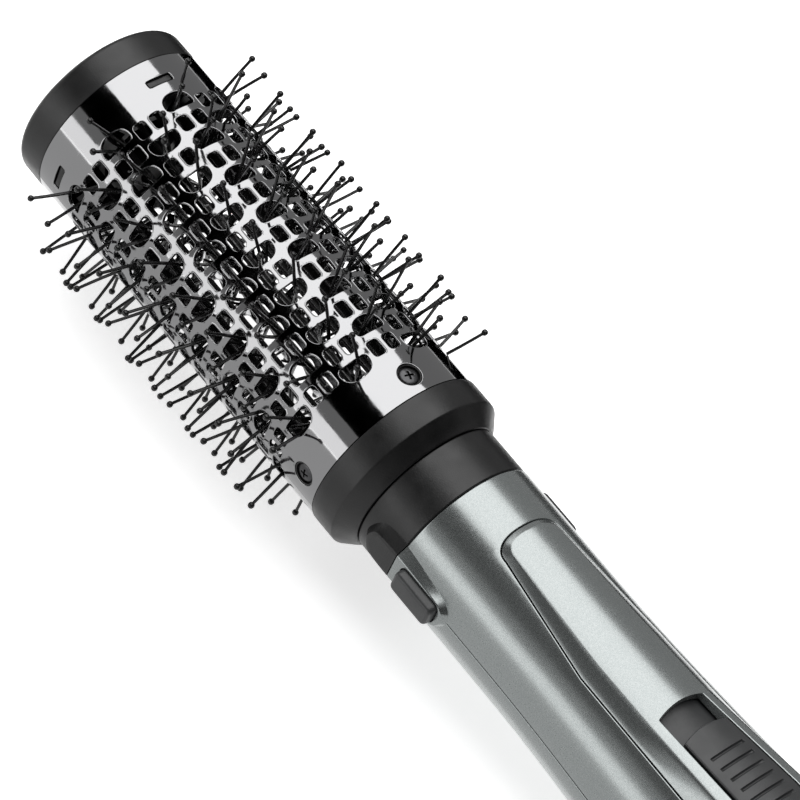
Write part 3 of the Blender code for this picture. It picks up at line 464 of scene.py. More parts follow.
def lathe(outline, segments=SEGMENTS):
    """Turn a closed (x, radius) outline about the tool axis."""
    form = Form()
    rows = []
    for index in range(segments):
        rows.append(form.ring([polar(x, radius, 360.0 * index / segments) for x, radius in outline]))
    form.skin(rows, around=True)
    return form


def arc(center, radius, start, end, steps=6):
    """Points of a quarter or other arc in the (x, radius) plane, angles in degrees."""
    points = []
    for step in range(steps + 1):
        angle = math.radians(start + (end - start) * step / steps)
        points.append((center[0] + radius * math.cos(angle), center[1] + radius * math.sin(angle)))
    return points


def tube(path, radii, sides=8):
    """A closed round bar along a list of points with a radius at each."""
    form = Form()
    rings = []
    points = [Vector(point) for point in path]
    side = (points[-1] - points[0]).orthogonal().normalized()
    for index, point in enumerate(points):
        before = points[max(index - 1, 0)]
        after = points[min(index + 1, len(points) - 1)]
        direction = (after - before).normalized()
        side = (side - direction * side.dot(direction)).normalized()
        other = direction.cross(side)
        turns = [2 * math.pi * corner / sides for corner in range(sides)]
        rings.append([point + radii[index] * (math.cos(turn) * side + math.sin(turn) * other)
                      for turn in turns])
    form.loft(rings)
    return form


def ball(center, radius, segments=10, rings=6):
    """A round tip as a closed form."""
    form = Form()
    rows = []
    for row in range(1, rings):
        lift = math.pi * row / rings
        turns = [2 * math.pi * corner / segments for corner in range(segments)]
        rows.append([Vector(center) + radius * Vector((math.sin(lift) * math.cos(turn),
                                                       math.sin(lift) * math.sin(turn),
                                                       math.cos(lift))) for turn in turns])
    made = form.loft(rows, caps=False)
    for row, sign in ((made[0], 1), (made[-1], -1)):
        pole = form.ring([Vector(center) + Vector((0, 0, sign * radius))])[0]
        for first, second in zip(row, row[1:] + row[:1]):
            form.faces.append((first, second, pole))
    return form


def piece(name, form, material, body, nodes=(), weld=0.0005, sharp=38.0):
    """Make a form into an object of the frame that rides on a body and stands for CAD nodes."""
    mesh = bpy.data.meshes.new(name)
    mesh.from_pydata([tuple(TOOL @ (point * MM)) for point in form.points], [], form.faces)
    bm = bmesh.new()
    bm.from_mesh(mesh)
    bmesh.ops.remove_doubles(bm, verts=bm.verts, dist=weld * MM)
    bmesh.ops.recalc_face_normals(bm, faces=bm.faces)
    bm.to_mesh(mesh)
    bm.free()
    mesh.materials.append(material)
    mesh.shade_smooth()
    mesh.set_sharp_from_angle(angle=math.radians(sharp))
    item = bpy.data.objects.new(name, mesh)
    bpy.context.scene.collection.objects.link(item)
    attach(item, body)
    if nodes:
        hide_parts(*nodes)
    return item


# ---------------------------------------------------------------- materials

def new_material(name, color, roughness, metallic=0.0):
    """A Principled material with its node tree and shader."""
    material = bpy.data.materials.new(name)
    material.use_nodes = True
    shader = material.node_tree.nodes["Principled BSDF"]
    shader.inputs["Base Color"].default_value = (*color, 1.0)
    shader.inputs["Roughness"].default_value = roughness
    shader.inputs["Metallic"].default_value = metallic
    return material, material.node_tree, shader


def noise(tree, scale, detail=3.0, roughness=0.5, stretch=(1.0, 1.0, 1.0)):
    """A noise pattern in the piece's own coordinates, scale in features per metre."""
    place = tree.nodes.new("ShaderNodeTexCoord")
    mapping = tree.nodes.new("ShaderNodeMapping")
    mapping.inputs["Scale"].default_value = stretch
    pattern = tree.nodes.new("ShaderNodeTexNoise")
    pattern.inputs["Scale"].default_value = scale
    pattern.inputs["Detail"].default_value = detail
    pattern.inputs["Roughness"].default_value = roughness
    tree.links.new(place.outputs["Object"], mapping.inputs["Vector"])
    tree.links.new(mapping.outputs["Vector"], pattern.inputs["Vector"])
    return pattern.outputs["Fac"]


def cells(tree, scale):
    """A pattern of small cells, each with a random value."""
    place = tree.nodes.new("ShaderNodeTexCoord")
    pattern = tree.nodes.new("ShaderNodeTexVoronoi")
    pattern.inputs["Scale"].default_value = scale
    tree.links.new(place.outputs["Object"], pattern.inputs["Vector"])
    return pattern.outputs["Color"]


def spread(tree, value, low, high, start=0.3, end=0.7):
    """Map a pattern's range onto low to high."""
    node = tree.nodes.new("ShaderNodeMapRange")
    node.inputs["From Min"].default_value = start
    node.inputs["From Max"].default_value = end
    node.inputs["To Min"].default_value = low
    node.inputs["To Max"].default_value = high
    tree.links.new(value, node.inputs["Value"])
    return node.outputs["Result"]


def blend_colors(tree, value, first, second):
    """Mix two colours by a pattern."""
    node = tree.nodes.new("ShaderNodeMix")
    node.data_type = "RGBA"
    node.inputs["A"].default_value = (*first, 1.0)
    node.inputs["B"].default_value = (*second, 1.0)
    tree.links.new(value, node.inputs["Factor"])
    return node.outputs["Result"]


def color_by(tree, shader, value, first, second):
    """Let a pattern mix the base colour."""
    tree.links.new(blend_colors(tree, value, first, second), shader.inputs["Base Color"])


def gloss_by(tree, shader, value, low, high, start=0.3, end=0.7):
    """Let a pattern set the roughness between two values."""
    tree.links.new(spread(tree, value, low, high, start, end), shader.inputs["Roughness"])


def bump(tree, shader, value, height, strength=1.0):
    """Drive the surface normal by a pattern whose full range is a height in metres."""
    node = tree.nodes.new("ShaderNodeBump")
    node.inputs["Strength"].default_value = strength
    node.inputs["Distance"].default_value = height
    tree.links.new(value, node.inputs["Height"])
    tree.links.new(node.outputs["Normal"], shader.inputs["Normal"])


def dark_chrome():
    """Mirror-bright dark nickel with the slight waviness of a thin punched tube."""
    material, tree, shader = new_material("dark_chrome", (0.33, 0.33, 0.335), 0.07, 1.0)
    haze = noise(tree, 180.0, 4.0, 0.6)
    gloss_by(tree, shader, haze, 0.05, 0.11)
    bump(tree, shader, noise(tree, 300.0, 2.0), 0.00002, 0.6)
    return material


def moulded_plastic(name, dark, light, roughness, grain_scale, grain_height):
    """Injection-moulded plastic: fine grain, soft gloss changes and a little unevenness in colour."""
    material, tree, shader = new_material(name, dark, roughness)
    cloud = noise(tree, 60.0, 4.0, 0.6)
    color_by(tree, shader, spread(tree, cloud, 0.0, 1.0), dark, light)
    gloss_by(tree, shader, noise(tree, 220.0), roughness - 0.05, roughness + 0.06)
    bump(tree, shader, noise(tree, grain_scale, 2.0), grain_height)
    return material


def metallic_paint():
    """Silver-grey metallic paint: fine flakes under a satin clear coat."""
    material, tree, shader = new_material("metallic_grey_paint", (0.3, 0.33, 0.33), 0.36, 0.85)
    flakes = cells(tree, 5200.0)
    shader.inputs["Coat Weight"].default_value = 0.35
    shader.inputs["Coat Roughness"].default_value = 0.25
    split = tree.nodes.new("ShaderNodeSeparateColor")
    tree.links.new(flakes, split.inputs["Color"])
    color_by(tree, shader, split.outputs["Red"], (0.275, 0.298, 0.296), (0.34, 0.36, 0.356))
    gloss_by(tree, shader, split.outputs["Green"], 0.2, 0.28, 0.0, 1.0)
    bump(tree, shader, noise(tree, 2600.0, 2.0), 0.00002, 0.3)
    return material


def screw_metal():
    """Dark plated steel with faint turning marks."""
    material, tree, shader = new_material("dark_screw", (0.085, 0.085, 0.088), 0.35, 1.0)
    gloss_by(tree, shader, noise(tree, 900.0), 0.25, 0.45)
    bump(tree, shader, noise(tree, 1500.0), 0.00002)
    return material


def bare_metal(name, first, second, roughness):
    """Drawn or rolled metal, with streaks along the tool axis."""
    material, tree, shader = new_material(name, first, roughness, 1.0)
    streaks = noise(tree, 900.0, 3.0, 0.5, (0.08, 1.0, 1.0))
    color_by(tree, shader, spread(tree, streaks, 0.0, 1.0), first, second)
    gloss_by(tree, shader, streaks, roughness - 0.08, roughness + 0.1)
    bump(tree, shader, streaks, 0.00002)
    return material


def mica_sheet():
    """Pressed mica: pearly flakes in a pale brown sheet."""
    material, tree, shader = new_material("mica", (0.5, 0.44, 0.34), 0.5)
    split = tree.nodes.new("ShaderNodeSeparateColor")
    tree.links.new(cells(tree, 900.0), split.inputs["Color"])
    color_by(tree, shader, split.outputs["Red"], (0.42, 0.36, 0.27), (0.62, 0.56, 0.45))
    gloss_by(tree, shader, split.outputs["Blue"], 0.35, 0.6, 0.0, 1.0)
    return material


def board_lacquer():
    """Green lacquer over the weave of a circuit board."""
    material, tree, shader = new_material("circuit_board", (0.03, 0.13, 0.05), 0.35)
    weave = noise(tree, 1400.0, 1.0, 0.3)
    color_by(tree, shader, spread(tree, weave, 0.0, 1.0), (0.025, 0.11, 0.04), (0.05, 0.19, 0.07))
    bump(tree, shader, weave, 0.00003)
    return material


def make_materials():
    """Every finish by a short name."""
    return {
        "chrome": dark_chrome(),
        "black": moulded_plastic("black_plastic", (0.004, 0.004, 0.0042), (0.007, 0.007, 0.0072),
                                 0.38, 3200.0, 0.00003),
        "dark": moulded_plastic("dark_grey_plastic", (0.028, 0.029, 0.03), (0.038, 0.039, 0.04),
                                0.38, 3600.0, 0.00003),
        "nylon": moulded_plastic("black_nylon", (0.004, 0.004, 0.004), (0.007, 0.007, 0.007),
                                 0.22, 2500.0, 0.00001),
        "paint": metallic_paint(),
        "screw": screw_metal(),
        "steel": bare_metal("steel", (0.5, 0.5, 0.51), (0.62, 0.62, 0.62), 0.32),
        "copper": bare_metal("copper_winding", (0.5, 0.22, 0.11), (0.68, 0.32, 0.17), 0.35),
        "magnet": moulded_plastic("ferrite", (0.05, 0.05, 0.052), (0.08, 0.08, 0.082), 0.6, 1500.0, 0.00005),
        "mica": mica_sheet(),
        "board": board_lacquer(),
    }


# ---------------------------------------------------------------- shared shapes of the handle

def shell_radius(x):
    """Outer radius of the handle: straight at the front, a soft swell, a slight taper at the tail."""
    t = min(max((x - SWELL_START_X) / SWELL_LENGTH, 0.0), 1.0)
    swell = SWELL * t * t * (3 - 2 * t)
    u = max((x - SWELL_START_X - SWELL_LENGTH) / (SHELL_REAR_X - SWELL_START_X - SWELL_LENGTH), 0.0)
    return SHELL_RADIUS + swell - TAIL_TAPER * u * u


def panel_raise(x):
    """Height of the inlay's top over the casing: it ramps up to the thumb slider, then falls again."""
    climb = RAMP_SLOPE * min(max(x - RAMP_START_X, 0.0), RAMP_END_X - RAMP_START_X)
    t = min(max((x - RAMP_FALL_X) / (PANEL_END_X - RAMP_FALL_X), 0.0), 1.0)
    return PANEL_RAISE + climb * (1.0 - t * t * (3 - 2 * t))


def casing(u, v, level):
    """A point on the casing; v is in degrees times SHELL_ARC."""
    return polar(u, shell_radius(u) + level, v / SHELL_ARC)


SHELL_ARC = math.radians(SHELL_RADIUS)


# ---------------------------------------------------------------- brush head

def station_x(column, index):
    """Centre of a dome-shaped hole; those of odd columns are staggered along the barrel."""
    return FIRST_HOLE_X + index * HOLE_PITCH + (STAGGER if column % 2 else 0.0)


def dome_outline(towards_tip):
    """A D-shaped hole with rounded corners, its arc towards the tip or towards the handle."""
    half = DOME_WIDTH / 2
    corner = DOME_CORNER
    shoulder = DOME_LENGTH / 2 - corner
    reach = DOME_LENGTH - corner
    points = []
    for step in range(25):
        angle = math.radians(90 + 180 * step / 24)
        c, s = math.cos(angle), math.sin(angle)
        width = half * math.copysign(abs(s) ** DOME_POWER, s)
        points.append((shoulder - reach * abs(c) ** DOME_POWER, width))
    for start, sign in ((270, -1), (0, 1)):
        for step in range(1, 6):
            angle = math.radians(start + 90 * step / 6)
            width = sign * (half - corner) + corner * math.sin(angle)
            points.append((shoulder + corner * math.cos(angle), width))
    if not towards_tip:
        points = [(-u, v) for u, v in reversed(points)]
    return resample(points, HOLE_STEP)


def column_holes(column):
    """Outlines of every hole in one column, in millimetres along the axis and around."""
    towards_tip = column % 2 == 0
    square = resample(rounded_rectangle(SQUARE_LENGTH, SQUARE_WIDTH, SQUARE_CORNER), HOLE_STEP)
    holes = []
    for index in range(PERIODS):
        x = station_x(column, index)
        holes.append(moved(dome_outline(towards_tip), x, 0.0))
        for side in (-1, 1):
            holes.append(moved(square, x + SQUARE_OFFSET[towards_tip], side * SQUARE_ASIDE))
    if column % 4 == 0:
        window = resample(rounded_rectangle(LUG_LENGTH, LUG_WIDTH, LUG_CORNER), 0.6)
        holes.append(moved(window, LUG_X, 0.0))
        holes.append(moved(circle(SCREW_SEAT_RADIUS, 36), SCREW_X, 0.0))
    return holes


def unbent(u, v, level):
    """A point of the tube before it is bent round."""
    return Vector((u, v, level))


def barrel_tile(column):
    """One column's share of the perforated tube, flat: length, arc and height."""
    half = math.pi * BARREL_RADIUS / COLUMNS
    ends = (BARREL_FRONT_X, BARREL_REAR_X)
    sides = [(ends[0], -half), (ends[1], -half), (ends[1], half), (ends[0], half)]
    outline = subdivide(sides, TILE_STEP)
    holes = column_holes(column)
    profile = HOLE_RIM + ((0.0, -BARREL_WALL), )
    form = Form()
    rims = [form.rim(hole, profile, unbent) for hole in holes]
    grown = [offset(hole, HOLE_RIM[0][0]) for hole in holes]
    top = form.ring([(u, v, 0.0) for u, v in outline])
    low = form.ring([(u, v, -BARREL_WALL) for u, v in outline])
    form.fill([outline] + grown, [top] + [rows[0] for rows in rims], 1.05, unbent)
    form.fill([outline] + holes, [low] + [rows[-1] for rows in rims], 1.6, unbent, -BARREL_WALL)
    for index in range(len(outline)):
        after = (index + 1) % len(outline)
        if outline[index][0] == outline[after][0] and outline[index][0] in ends:
            form.faces.append((top[index], top[after], low[after], low[index]))
    return form


def build_barrel(material):
    """The perforated chrome tube, bent up from flat tiles of three kinds."""
    tiles = [barrel_tile(column) for column in range(3)]
    form = Form()
    for column in range(COLUMNS):
        tile = tiles[0 if column % 4 == 0 else 1 if column % 2 else 2]
        bent = Form()
        for x, around, level in tile.points:
            degrees = column * COLUMN_STEP + math.degrees(around / BARREL_RADIUS)
            bent.points.append(polar(x, BARREL_RADIUS + level, degrees))
        bent.faces = tile.faces
        form.add(bent)
    piece("barrel_tube", form, material, "brush_head", ["barrel"], weld=0.002)


def quarter_turn(index):
    """The turn about the tool axis that takes the switch side to one of four sides."""
    return Matrix.Rotation(-math.radians(index * 90.0), 4, "X")


def build_cap(material):
    """Front cap: shallow dish, rounded rim, plug inside the tube and a snap lug in each window."""
    plug = BARREL_RADIUS - BARREL_WALL - GAP
    outline = [(HEAD_TIP_X + 0.8, 0.0), (HEAD_TIP_X + 0.8, 16.6)]
    outline += arc((HEAD_TIP_X + 0.4, 17.0), 0.4, -90, -180, 3)
    outline += arc((HEAD_TIP_X + 2.2, 22.75), 2.2, 180, 92, 10)
    outline += [(HEAD_TIP_X + 5.0, 24.97), (BARREL_FRONT_X - 0.42, 24.99)]
    outline += arc((BARREL_FRONT_X - 0.35, 24.8), 0.2, 90, 0, 3)
    outline += [(BARREL_FRONT_X - 0.15, plug), (LUG_X + 2.5, plug), (LUG_X + 2.5, plug - 2.0),
                (HEAD_TIP_X + 3.0, plug - 2.0), (HEAD_TIP_X + 3.0, 0.0)]
    form = lathe(outline)
    for index in range(4):
        lug = Form()
        base = resample(rounded_rectangle(1.7, 7.1, 0.4), 0.5)
        rows = lug.rim(base, ((-0.35, 24.55), (-0.1, 24.45), (0.0, 24.2), (0.0, plug - 1.0)),
                       lambda u, v, level: Vector((LUG_X + u, v, level)))
        lug.faces += [tuple(rows[0]), tuple(rows[-1])]
        form.add(lug, quarter_turn(index))
    piece("cap_front", form, material, "brush_head", ["end_cap"], weld=0.0002)


def bristle(x, lean, draw):
    """One nylon pin with a ball tip, rooted on the rail, in the column's own plane with Z outwards."""
    root = Vector((x - lean * (ROOT_LEAN + draw.uniform(-0.4, 0.4)), -lean * ROOT_SPLAY, RAIL_TOP - 0.8))
    along = x + lean * draw.uniform(*TIP_LEAN)
    across = -lean * draw.uniform(*TIP_SPLAY)
    reach = TIP_RADIUS - BALL_RADIUS - draw.uniform(0.0, TIP_SHORT)
    tip = Vector((along, across, math.sqrt(reach ** 2 - across ** 2)))
    bow = Vector((draw.uniform(-0.45, 0.45), draw.uniform(-0.35, 0.35), 0.0))
    path = []
    radii = []
    for step in range(7):
        share = step / 6
        path.append(root.lerp(tip, share) + bow * math.sin(math.pi * share))
        radii.append(PIN_RADIUS + 0.12 * (1 - share) ** 3 - 0.03 * share)
    form = tube(path, radii, 8)
    form.add(ball(tip, BALL_RADIUS * draw.uniform(0.93, 1.0)))
    return form


def brace(x, draw):
    """A short slanting rib from the rail to just under the tube, in the column's own plane."""
    root = Vector((x + draw.uniform(-1.5, 1.5), draw.uniform(-0.3, 0.3), RAIL_BOTTOM + 0.6))
    tip = root + Vector((draw.choice((-1, 1)) * draw.uniform(2.0, 4.5), draw.uniform(-3.6, 3.6), 0.0))
    tip.z = math.sqrt(BRACE_RADIUS ** 2 - tip.y ** 2)
    return tube([root, root.lerp(tip, 0.5), tip], [PIN_RADIUS, PIN_RADIUS * 0.9, PIN_RADIUS * 0.7], 6)


def build_strip(column, material):
    """One rail under a column of holes with a pair of crossing pins for each D-shaped hole."""
    draw = random.Random(BRISTLE_SEED + column)
    form = Form()
    section = rounded_rectangle(RAIL_WIDTH, RAIL_TOP - RAIL_BOTTOM, 0.5, 3)
    rings = []
    for x, shrink in ((RAIL_FRONT_X, 0.8), (RAIL_FRONT_X + 0.4, 1.0), (RAIL_REAR_X - 0.4, 1.0),
                      (RAIL_REAR_X, 0.8)):
        rings.append([Vector((x, a * shrink, (RAIL_BOTTOM + RAIL_TOP) / 2 + b * shrink)) for a, b in section])
    form.loft(rings)
    for index in range(PERIODS):
        x = station_x(column, index)
        for lean in (-1, 1):
            form.add(bristle(x, lean, draw))
        for share in BRACE_PLACES:
            form.add(brace(x + share * HOLE_PITCH, draw))
    turned = Form()
    turned.add(form, Matrix.Rotation(-math.radians(column * COLUMN_STEP), 4, "X"))
    label = "{:02d}".format(column + 1)
    piece("bristles_" + label, turned, material, "brush_head", ["bristle_strip_" + label])


def cross_outline(size, narrow):
    """The cross of a screw's recess with blunt arms."""
    arm = [(size, -narrow), (size, narrow), (narrow, narrow)]
    points = []
    for _ in range(4):
        points += arm
        arm = [(-v, u) for u, v in arm]
    return points


def screw_form(base, axis, radius, height, turn):
    """Pan head with a rounded rim and a tapering cross recess, on a short shank."""
    direction = Vector(axis).normalized()
    side = direction.orthogonal().normalized()
    side = Matrix.Rotation(turn, 3, direction) @ side
    other = direction.cross(side)

    def place(u, v, level):
        crown = 0.22 * radius * max(0.0, 1.0 - (u * u + v * v) / radius ** 2)
        return Vector(base) + side * u + other * v + direction * (height * 0.72 + crown + level)

    form = Form()
    rim = circle(radius, 48)
    outer = form.rim(rim, ((-0.25 * radius, 0.0), (-0.1 * radius, -0.03), (-0.03 * radius, -0.12),
                           (0.0, -0.3), (0.0, -height * 0.72)), place)
    form.faces.append(tuple(outer[-1]))
    cross = subdivide(cross_outline(radius * 0.5, radius * 0.1), radius * 0.09)
    inner = form.rim(cross, ((0.04 * radius, 0.0), (0.0, -0.05), (-0.04 * radius, -height * 0.75)), place)
    form.faces.append(tuple(inner[-1]))
    form.fill([offset(rim, -0.25 * radius), offset(cross, 0.04 * radius)], [outer[0], inner[0]],
              0.17 * radius, place)
    return form


def build_collar(materials):
    """Rear collar of the head with its four screws."""
    sleeve = BARREL_RADIUS - BARREL_WALL - GAP
    rear = BARREL_REAR_X

    def seat(u, v, level):
        return Vector((SCREW_X + u, v, sleeve + level))

    outline = [(SLEEVE_START_X, 20.8), (SLEEVE_START_X, sleeve), (rear + 0.2, sleeve), (rear + 0.2, 24.7)]
    outline += arc((rear + 0.5, 24.9), 0.3, 180, 90, 3)
    outline += [(rear + 2.5, COLLAR_RADIUS + 0.03), (CONE_START_X - 2.0, COLLAR_RADIUS + 0.03)]
    outline += arc((CONE_START_X - 0.75, COLLAR_RADIUS - 0.75), 0.75, 90, 40, 5)
    outline += [(-2.2, 22.75), (-0.75, 21.25)]
    outline += arc((-0.75, 20.75), 0.5, 42, 0, 3)
    groove = COLLAR_BORE + 0.9
    outline += [(-0.25, 20.2), (-0.25, 18.2), (-0.55, COLLAR_BORE), (-7.0, COLLAR_BORE), (-7.0, groove),
                (-10.2, groove), (-10.2, COLLAR_BORE), (-16.4, COLLAR_BORE), (-16.4, 20.8)]
    form = lathe(outline)
    for index in range(4):
        boss = Form()
        profile = ((-0.12, 0.85), (0.05, 0.95), (0.2, 0.85), (0.22, -0.4))
        rows = boss.rim(circle(BOSS_RADIUS, 40), profile, seat)
        low = boss.rim(circle(BOSS_FOOT_RADIUS, 40), ((0.0, -0.4), ), seat)
        boss.bridge(rows[-1], low[0])
        boss.bridge(low[0], rows[0])
        form.add(boss, quarter_turn(index))
    black = materials["black"]
    piece("collar_rear", form, black, "brush_head", ["rear_collar"], weld=0.0002)
    for index in range(4):
        base = polar(SCREW_X, sleeve - 0.9, index * 90.0)
        axis = polar(0.0, 1.0, index * 90.0)
        form = screw_form(base, axis, SCREW_HEAD_RADIUS, SCREW_HEAD_HEIGHT, 0.5 + 0.7 * index)
        number = str(index + 1)
        piece("head_screw_" + number, form, materials["screw"], "brush_head", ["collar_screw_" + number])


def build_head(materials):
    """Everything that pulls off the handle."""
    build_barrel(materials["chrome"])
    build_cap(materials["black"])
    for column in range(COLUMNS):
        build_strip(column, materials["nylon"])
    build_collar(materials)


# ---------------------------------------------------------------- nozzle, pads and buttons

def smooth_half(stations, count):
    """Evenly spread points on a smooth curve through (x, half width) stations, tip to tip."""
    points = [Vector((x, half)) for x, half in stations]
    mirrored = [Vector((points[1].x, -points[1].y))] + points + [Vector((points[-2].x, -points[-2].y))]
    curve = []
    for index in range(1, len(mirrored) - 2):
        p0, p1, p2, p3 = mirrored[index - 1:index + 3]
        for step in range(12):
            t = step / 12
            curve.append(0.5 * ((2 * p1) + (p2 - p0) * t + (2 * p0 - 5 * p1 + 4 * p2 - p3) * t * t
                                + (3 * p1 - p0 - 3 * p2 + p3) * t ** 3))
    curve.append(points[-1])
    return even_steps(curve, running_length(curve), count, count + 1)


def egg_outline(stations, count=40):
    """A closed anticlockwise outline from half widths along the axis."""
    half = smooth_half(stations, count)
    upper = [(point.x, point.y) for point in reversed(half)]
    lower = [(point.x, -point.y) for point in half[1:-1]]
    return upper + lower


def pad_rings():
    """The pad's rings from its root to the edge of its flat top, as (outline, level) pairs."""
    foot = egg_outline(PAD_FOOT)
    crown = egg_outline(PAD_CROWN)

    def between(share):
        return [(a + (c - a) * share, b + (d - b) * share) for (a, b), (c, d) in zip(foot, crown)]

    rise = PAD_TOP - PAD_FOOT_LEVEL
    rings = [(foot, PAD_ROOT), (foot, PAD_FOOT_LEVEL)]
    for share in (0.25, 0.5, 0.75, 0.88, 0.95):
        rings.append((between(share), PAD_FOOT_LEVEL + rise * share))
    rings.append((between(1.0), PAD_TOP - 0.06))
    rings.append((between(1.06), PAD_TOP))
    return rings


def half_space(form, x, keep_front):
    """Cut a form with a plane across the tool axis and close the cut."""
    mesh = bpy.data.meshes.new("cut")
    mesh.from_pydata([tuple(point) for point in form.points], [], form.faces)
    bm = bmesh.new()
    bm.from_mesh(mesh)
    bpy.data.meshes.remove(mesh)
    bmesh.ops.recalc_face_normals(bm, faces=bm.faces)
    everything = list(bm.verts) + list(bm.edges) + list(bm.faces)
    normal = (1, 0, 0) if keep_front else (-1, 0, 0)
    bmesh.ops.bisect_plane(bm, geom=everything, plane_co=(x, 0, 0), plane_no=normal, clear_outer=True)
    bmesh.ops.edgeloop_fill(bm, edges=[edge for edge in bm.edges if edge.is_boundary])
    bm.verts.index_update()
    result = Form()
    result.points = [vertex.co.copy() for vertex in bm.verts]
    result.faces = [tuple(vertex.index for vertex in face.verts) for face in bm.faces]
    bm.free()
    return result


def pad_form(side, with_window):
    """The whole pad on one side of the tool, with the button's window or closed on top."""
    form = Form()

    def place(u, v, level):
        return Vector((u, side * level, v))

    def on_top(u, v, level):
        return place(u, v, PAD_TOP + level)

    rows = []
    rings = pad_rings()
    for outline, level in rings:
        rows.append(form.ring([place(u, v, level) for u, v in outline]))
    form.skin(rows)
    form.faces.append(tuple(rows[0]))
    top = rings[-1][0]
    if not with_window:
        form.fill([top], [rows[-1]], 1.0, on_top)
        return form
    window = rounded_rectangle(BUTTON_LENGTH + 2 * GAP, BUTTON_WIDTH + 2 * GAP, WINDOW_CORNER)
    window = moved(resample(window, 0.5), BUTTON_X, 0.0)
    profile = ((0.14, PAD_TOP), (0.04, PAD_TOP - 0.05), (0.0, PAD_TOP - 0.2), (0.0, PAD_ROOT + 0.2))
    edge = form.rim(window, profile, place)
    form.faces.append(tuple(edge[-1]))
    form.fill([top, offset(window, profile[0][0])], [rows[-1], edge[0]], 0.6, on_top)
    return form


def build_nozzle(material):
    """Spigot with its latch slots, visible neck and the front parts of both pads."""
    outline = [(SPIGOT_X, 14.6), (SPIGOT_X, 16.0)]
    outline += arc((SPIGOT_X + 0.9, SPIGOT_RADIUS - 0.9), 0.9, 180, 90, 4)
    outline += [(-12.6, SPIGOT_RADIUS), (-12.4, SPIGOT_RADIUS - 0.25), (-11.8, SPIGOT_RADIUS - 0.25),
                (-11.6, SPIGOT_RADIUS), (-0.02, SPIGOT_RADIUS), (0.0, NECK_RADIUS - 0.35)]
    outline += arc((0.35, NECK_RADIUS - 0.35), 0.35, 180, 90, 3)
    outline += [(6.0, NECK_RADIUS), (SHELL_FRONT_X - 0.3, NECK_RADIUS), (SHELL_FRONT_X, NECK_RADIUS - 0.3),
                (SHELL_FRONT_X, 14.6), (46.0, 14.6), (46.0, 13.2), (4.0, 13.2), (0.0, 14.6)]
    form = lathe(outline)
    for side in (-1, 1):
        form.add(half_space(pad_form(side, False), SHELL_FRONT_X, True))
    piece("nozzle_neck", form, material, "handle", ["outlet_nozzle"], weld=0.0002)


def button_form(side):
    """Crowned block with soft edges, a retaining flange and the latch arm."""
    form = Form()

    def place(u, v, level):
        crown = BUTTON_CROWN * (1.0 - (u / (BUTTON_LENGTH / 2)) ** 2) * (1.0 - (v / (BUTTON_WIDTH / 2)) ** 2)
        lift = max(crown, 0.0) if level >= -0.3 else 0.0
        return Vector((BUTTON_X + u, side * (BUTTON_TOP - BUTTON_CROWN + level + lift), v))

    outline = resample(rounded_rectangle(BUTTON_LENGTH, BUTTON_WIDTH, BUTTON_CORNER), 0.42)
    height = BUTTON_TOP - BUTTON_FLANGE_TOP
    profile = ((-1.05, 0.0), (-0.75, -0.05), (-0.45, -0.2), (-0.22, -0.45), (-0.1, -0.75), (0.0, -1.2),
               (0.0, -height), (1.4, -height), (1.4, -height - BUTTON_FLANGE_TOP + BUTTON_BASE + 0.1))
    rows = form.rim(outline, profile, place)
    form.fill([offset(outline, -1.05)], [rows[0]], 0.55, place)
    form.faces.append(tuple(rows[-1]))
    heel = BUTTON_X - 5.0
    arm = [(heel, 16.2), (heel, 16.9), (-7.2, 16.9), (-7.4, 17.1), (-9.0, 17.1), (-10.0, 16.2)]
    form.loft([[(x, side * y, -2.0) for x, y in arm], [(x, side * y, 2.0) for x, y in arm]])
    return form


def build_buttons(material):
    """Release buttons on both sides."""
    for label, side in (("left", -1), ("right", 1)):
        piece("button_" + label, button_form(side), material, label + "_button",
              ["release_button_" + label])


# ---------------------------------------------------------------- casing

def panel_half(x, front, full):
    """Half width of one of the inlay's outlines, in degrees."""
    t = min(max((x - PANEL_START_X) / (PANEL_FULL_X - PANEL_START_X), 0.0), 1.0)
    shrink = 1.0 - PANEL_TAPER * max((x - PANEL_TAPER_X) / (PANEL_END_X - PANEL_TAPER_X), 0.0) ** 2
    return (front + (full - front) * t) * shrink


def panel_outline(start, end, nose, front, full):
    """The inlay's outline on the unrolled casing: squarish nose, straight flanks, rounded end."""
    tail = PANEL_TAIL
    steps = 70
    upper = []
    for step in range(25):
        angle = math.pi / 2 * step / 24
        x = start + nose * (1 - math.cos(angle) ** NOSE_POWER)
        width = panel_half(start + nose, front, full) * math.sin(angle) ** NOSE_POWER
        upper.append((x, width * SHELL_ARC))
    for step in range(1, steps):
        x = start + nose + (end - tail - start - nose) * step / steps
        upper.append((x, panel_half(x, front, full) * SHELL_ARC))
    for step in range(17):
        angle = math.pi / 2 * step / 16
        x = end - tail + tail * math.sin(angle) ** TAIL_POWER
        width = panel_half(end - tail, front, full) * math.cos(angle) ** TAIL_POWER
        upper.append((x, max(width, 0.0) * SHELL_ARC))
    lower = [(x, -v) for x, v in upper]
    return lower[:-1] + upper[::-1][:-1]


def panel_edge():
    """Outer outline of the inlay."""
    return panel_outline(PANEL_START_X, PANEL_END_X, PANEL_NOSE, PANEL_EDGE_FRONT, PANEL_EDGE)


def panel_crest():
    """Crest line, where the inlay's sloped flanks meet its top."""
    return panel_outline(PANEL_START_X + 1.7, PANEL_END_X - 4.0, PANEL_CREST_NOSE, PANEL_CREST_FRONT,
                         PANEL_CREST)


def slot_outline():
    """The switch's slot in the inlay, whose front edge bows forward."""
    half = SLOT_ANGLE * SHELL_ARC
    front = []
    for step in range(17):
        share = 1.0 - 2.0 * step / 16
        front.append((SLOT_START_X + FRONT_BULGE * share * share, half * share))
    return subdivide(front + [(SLOT_END_X, -half), (SLOT_END_X, half)], 0.9)


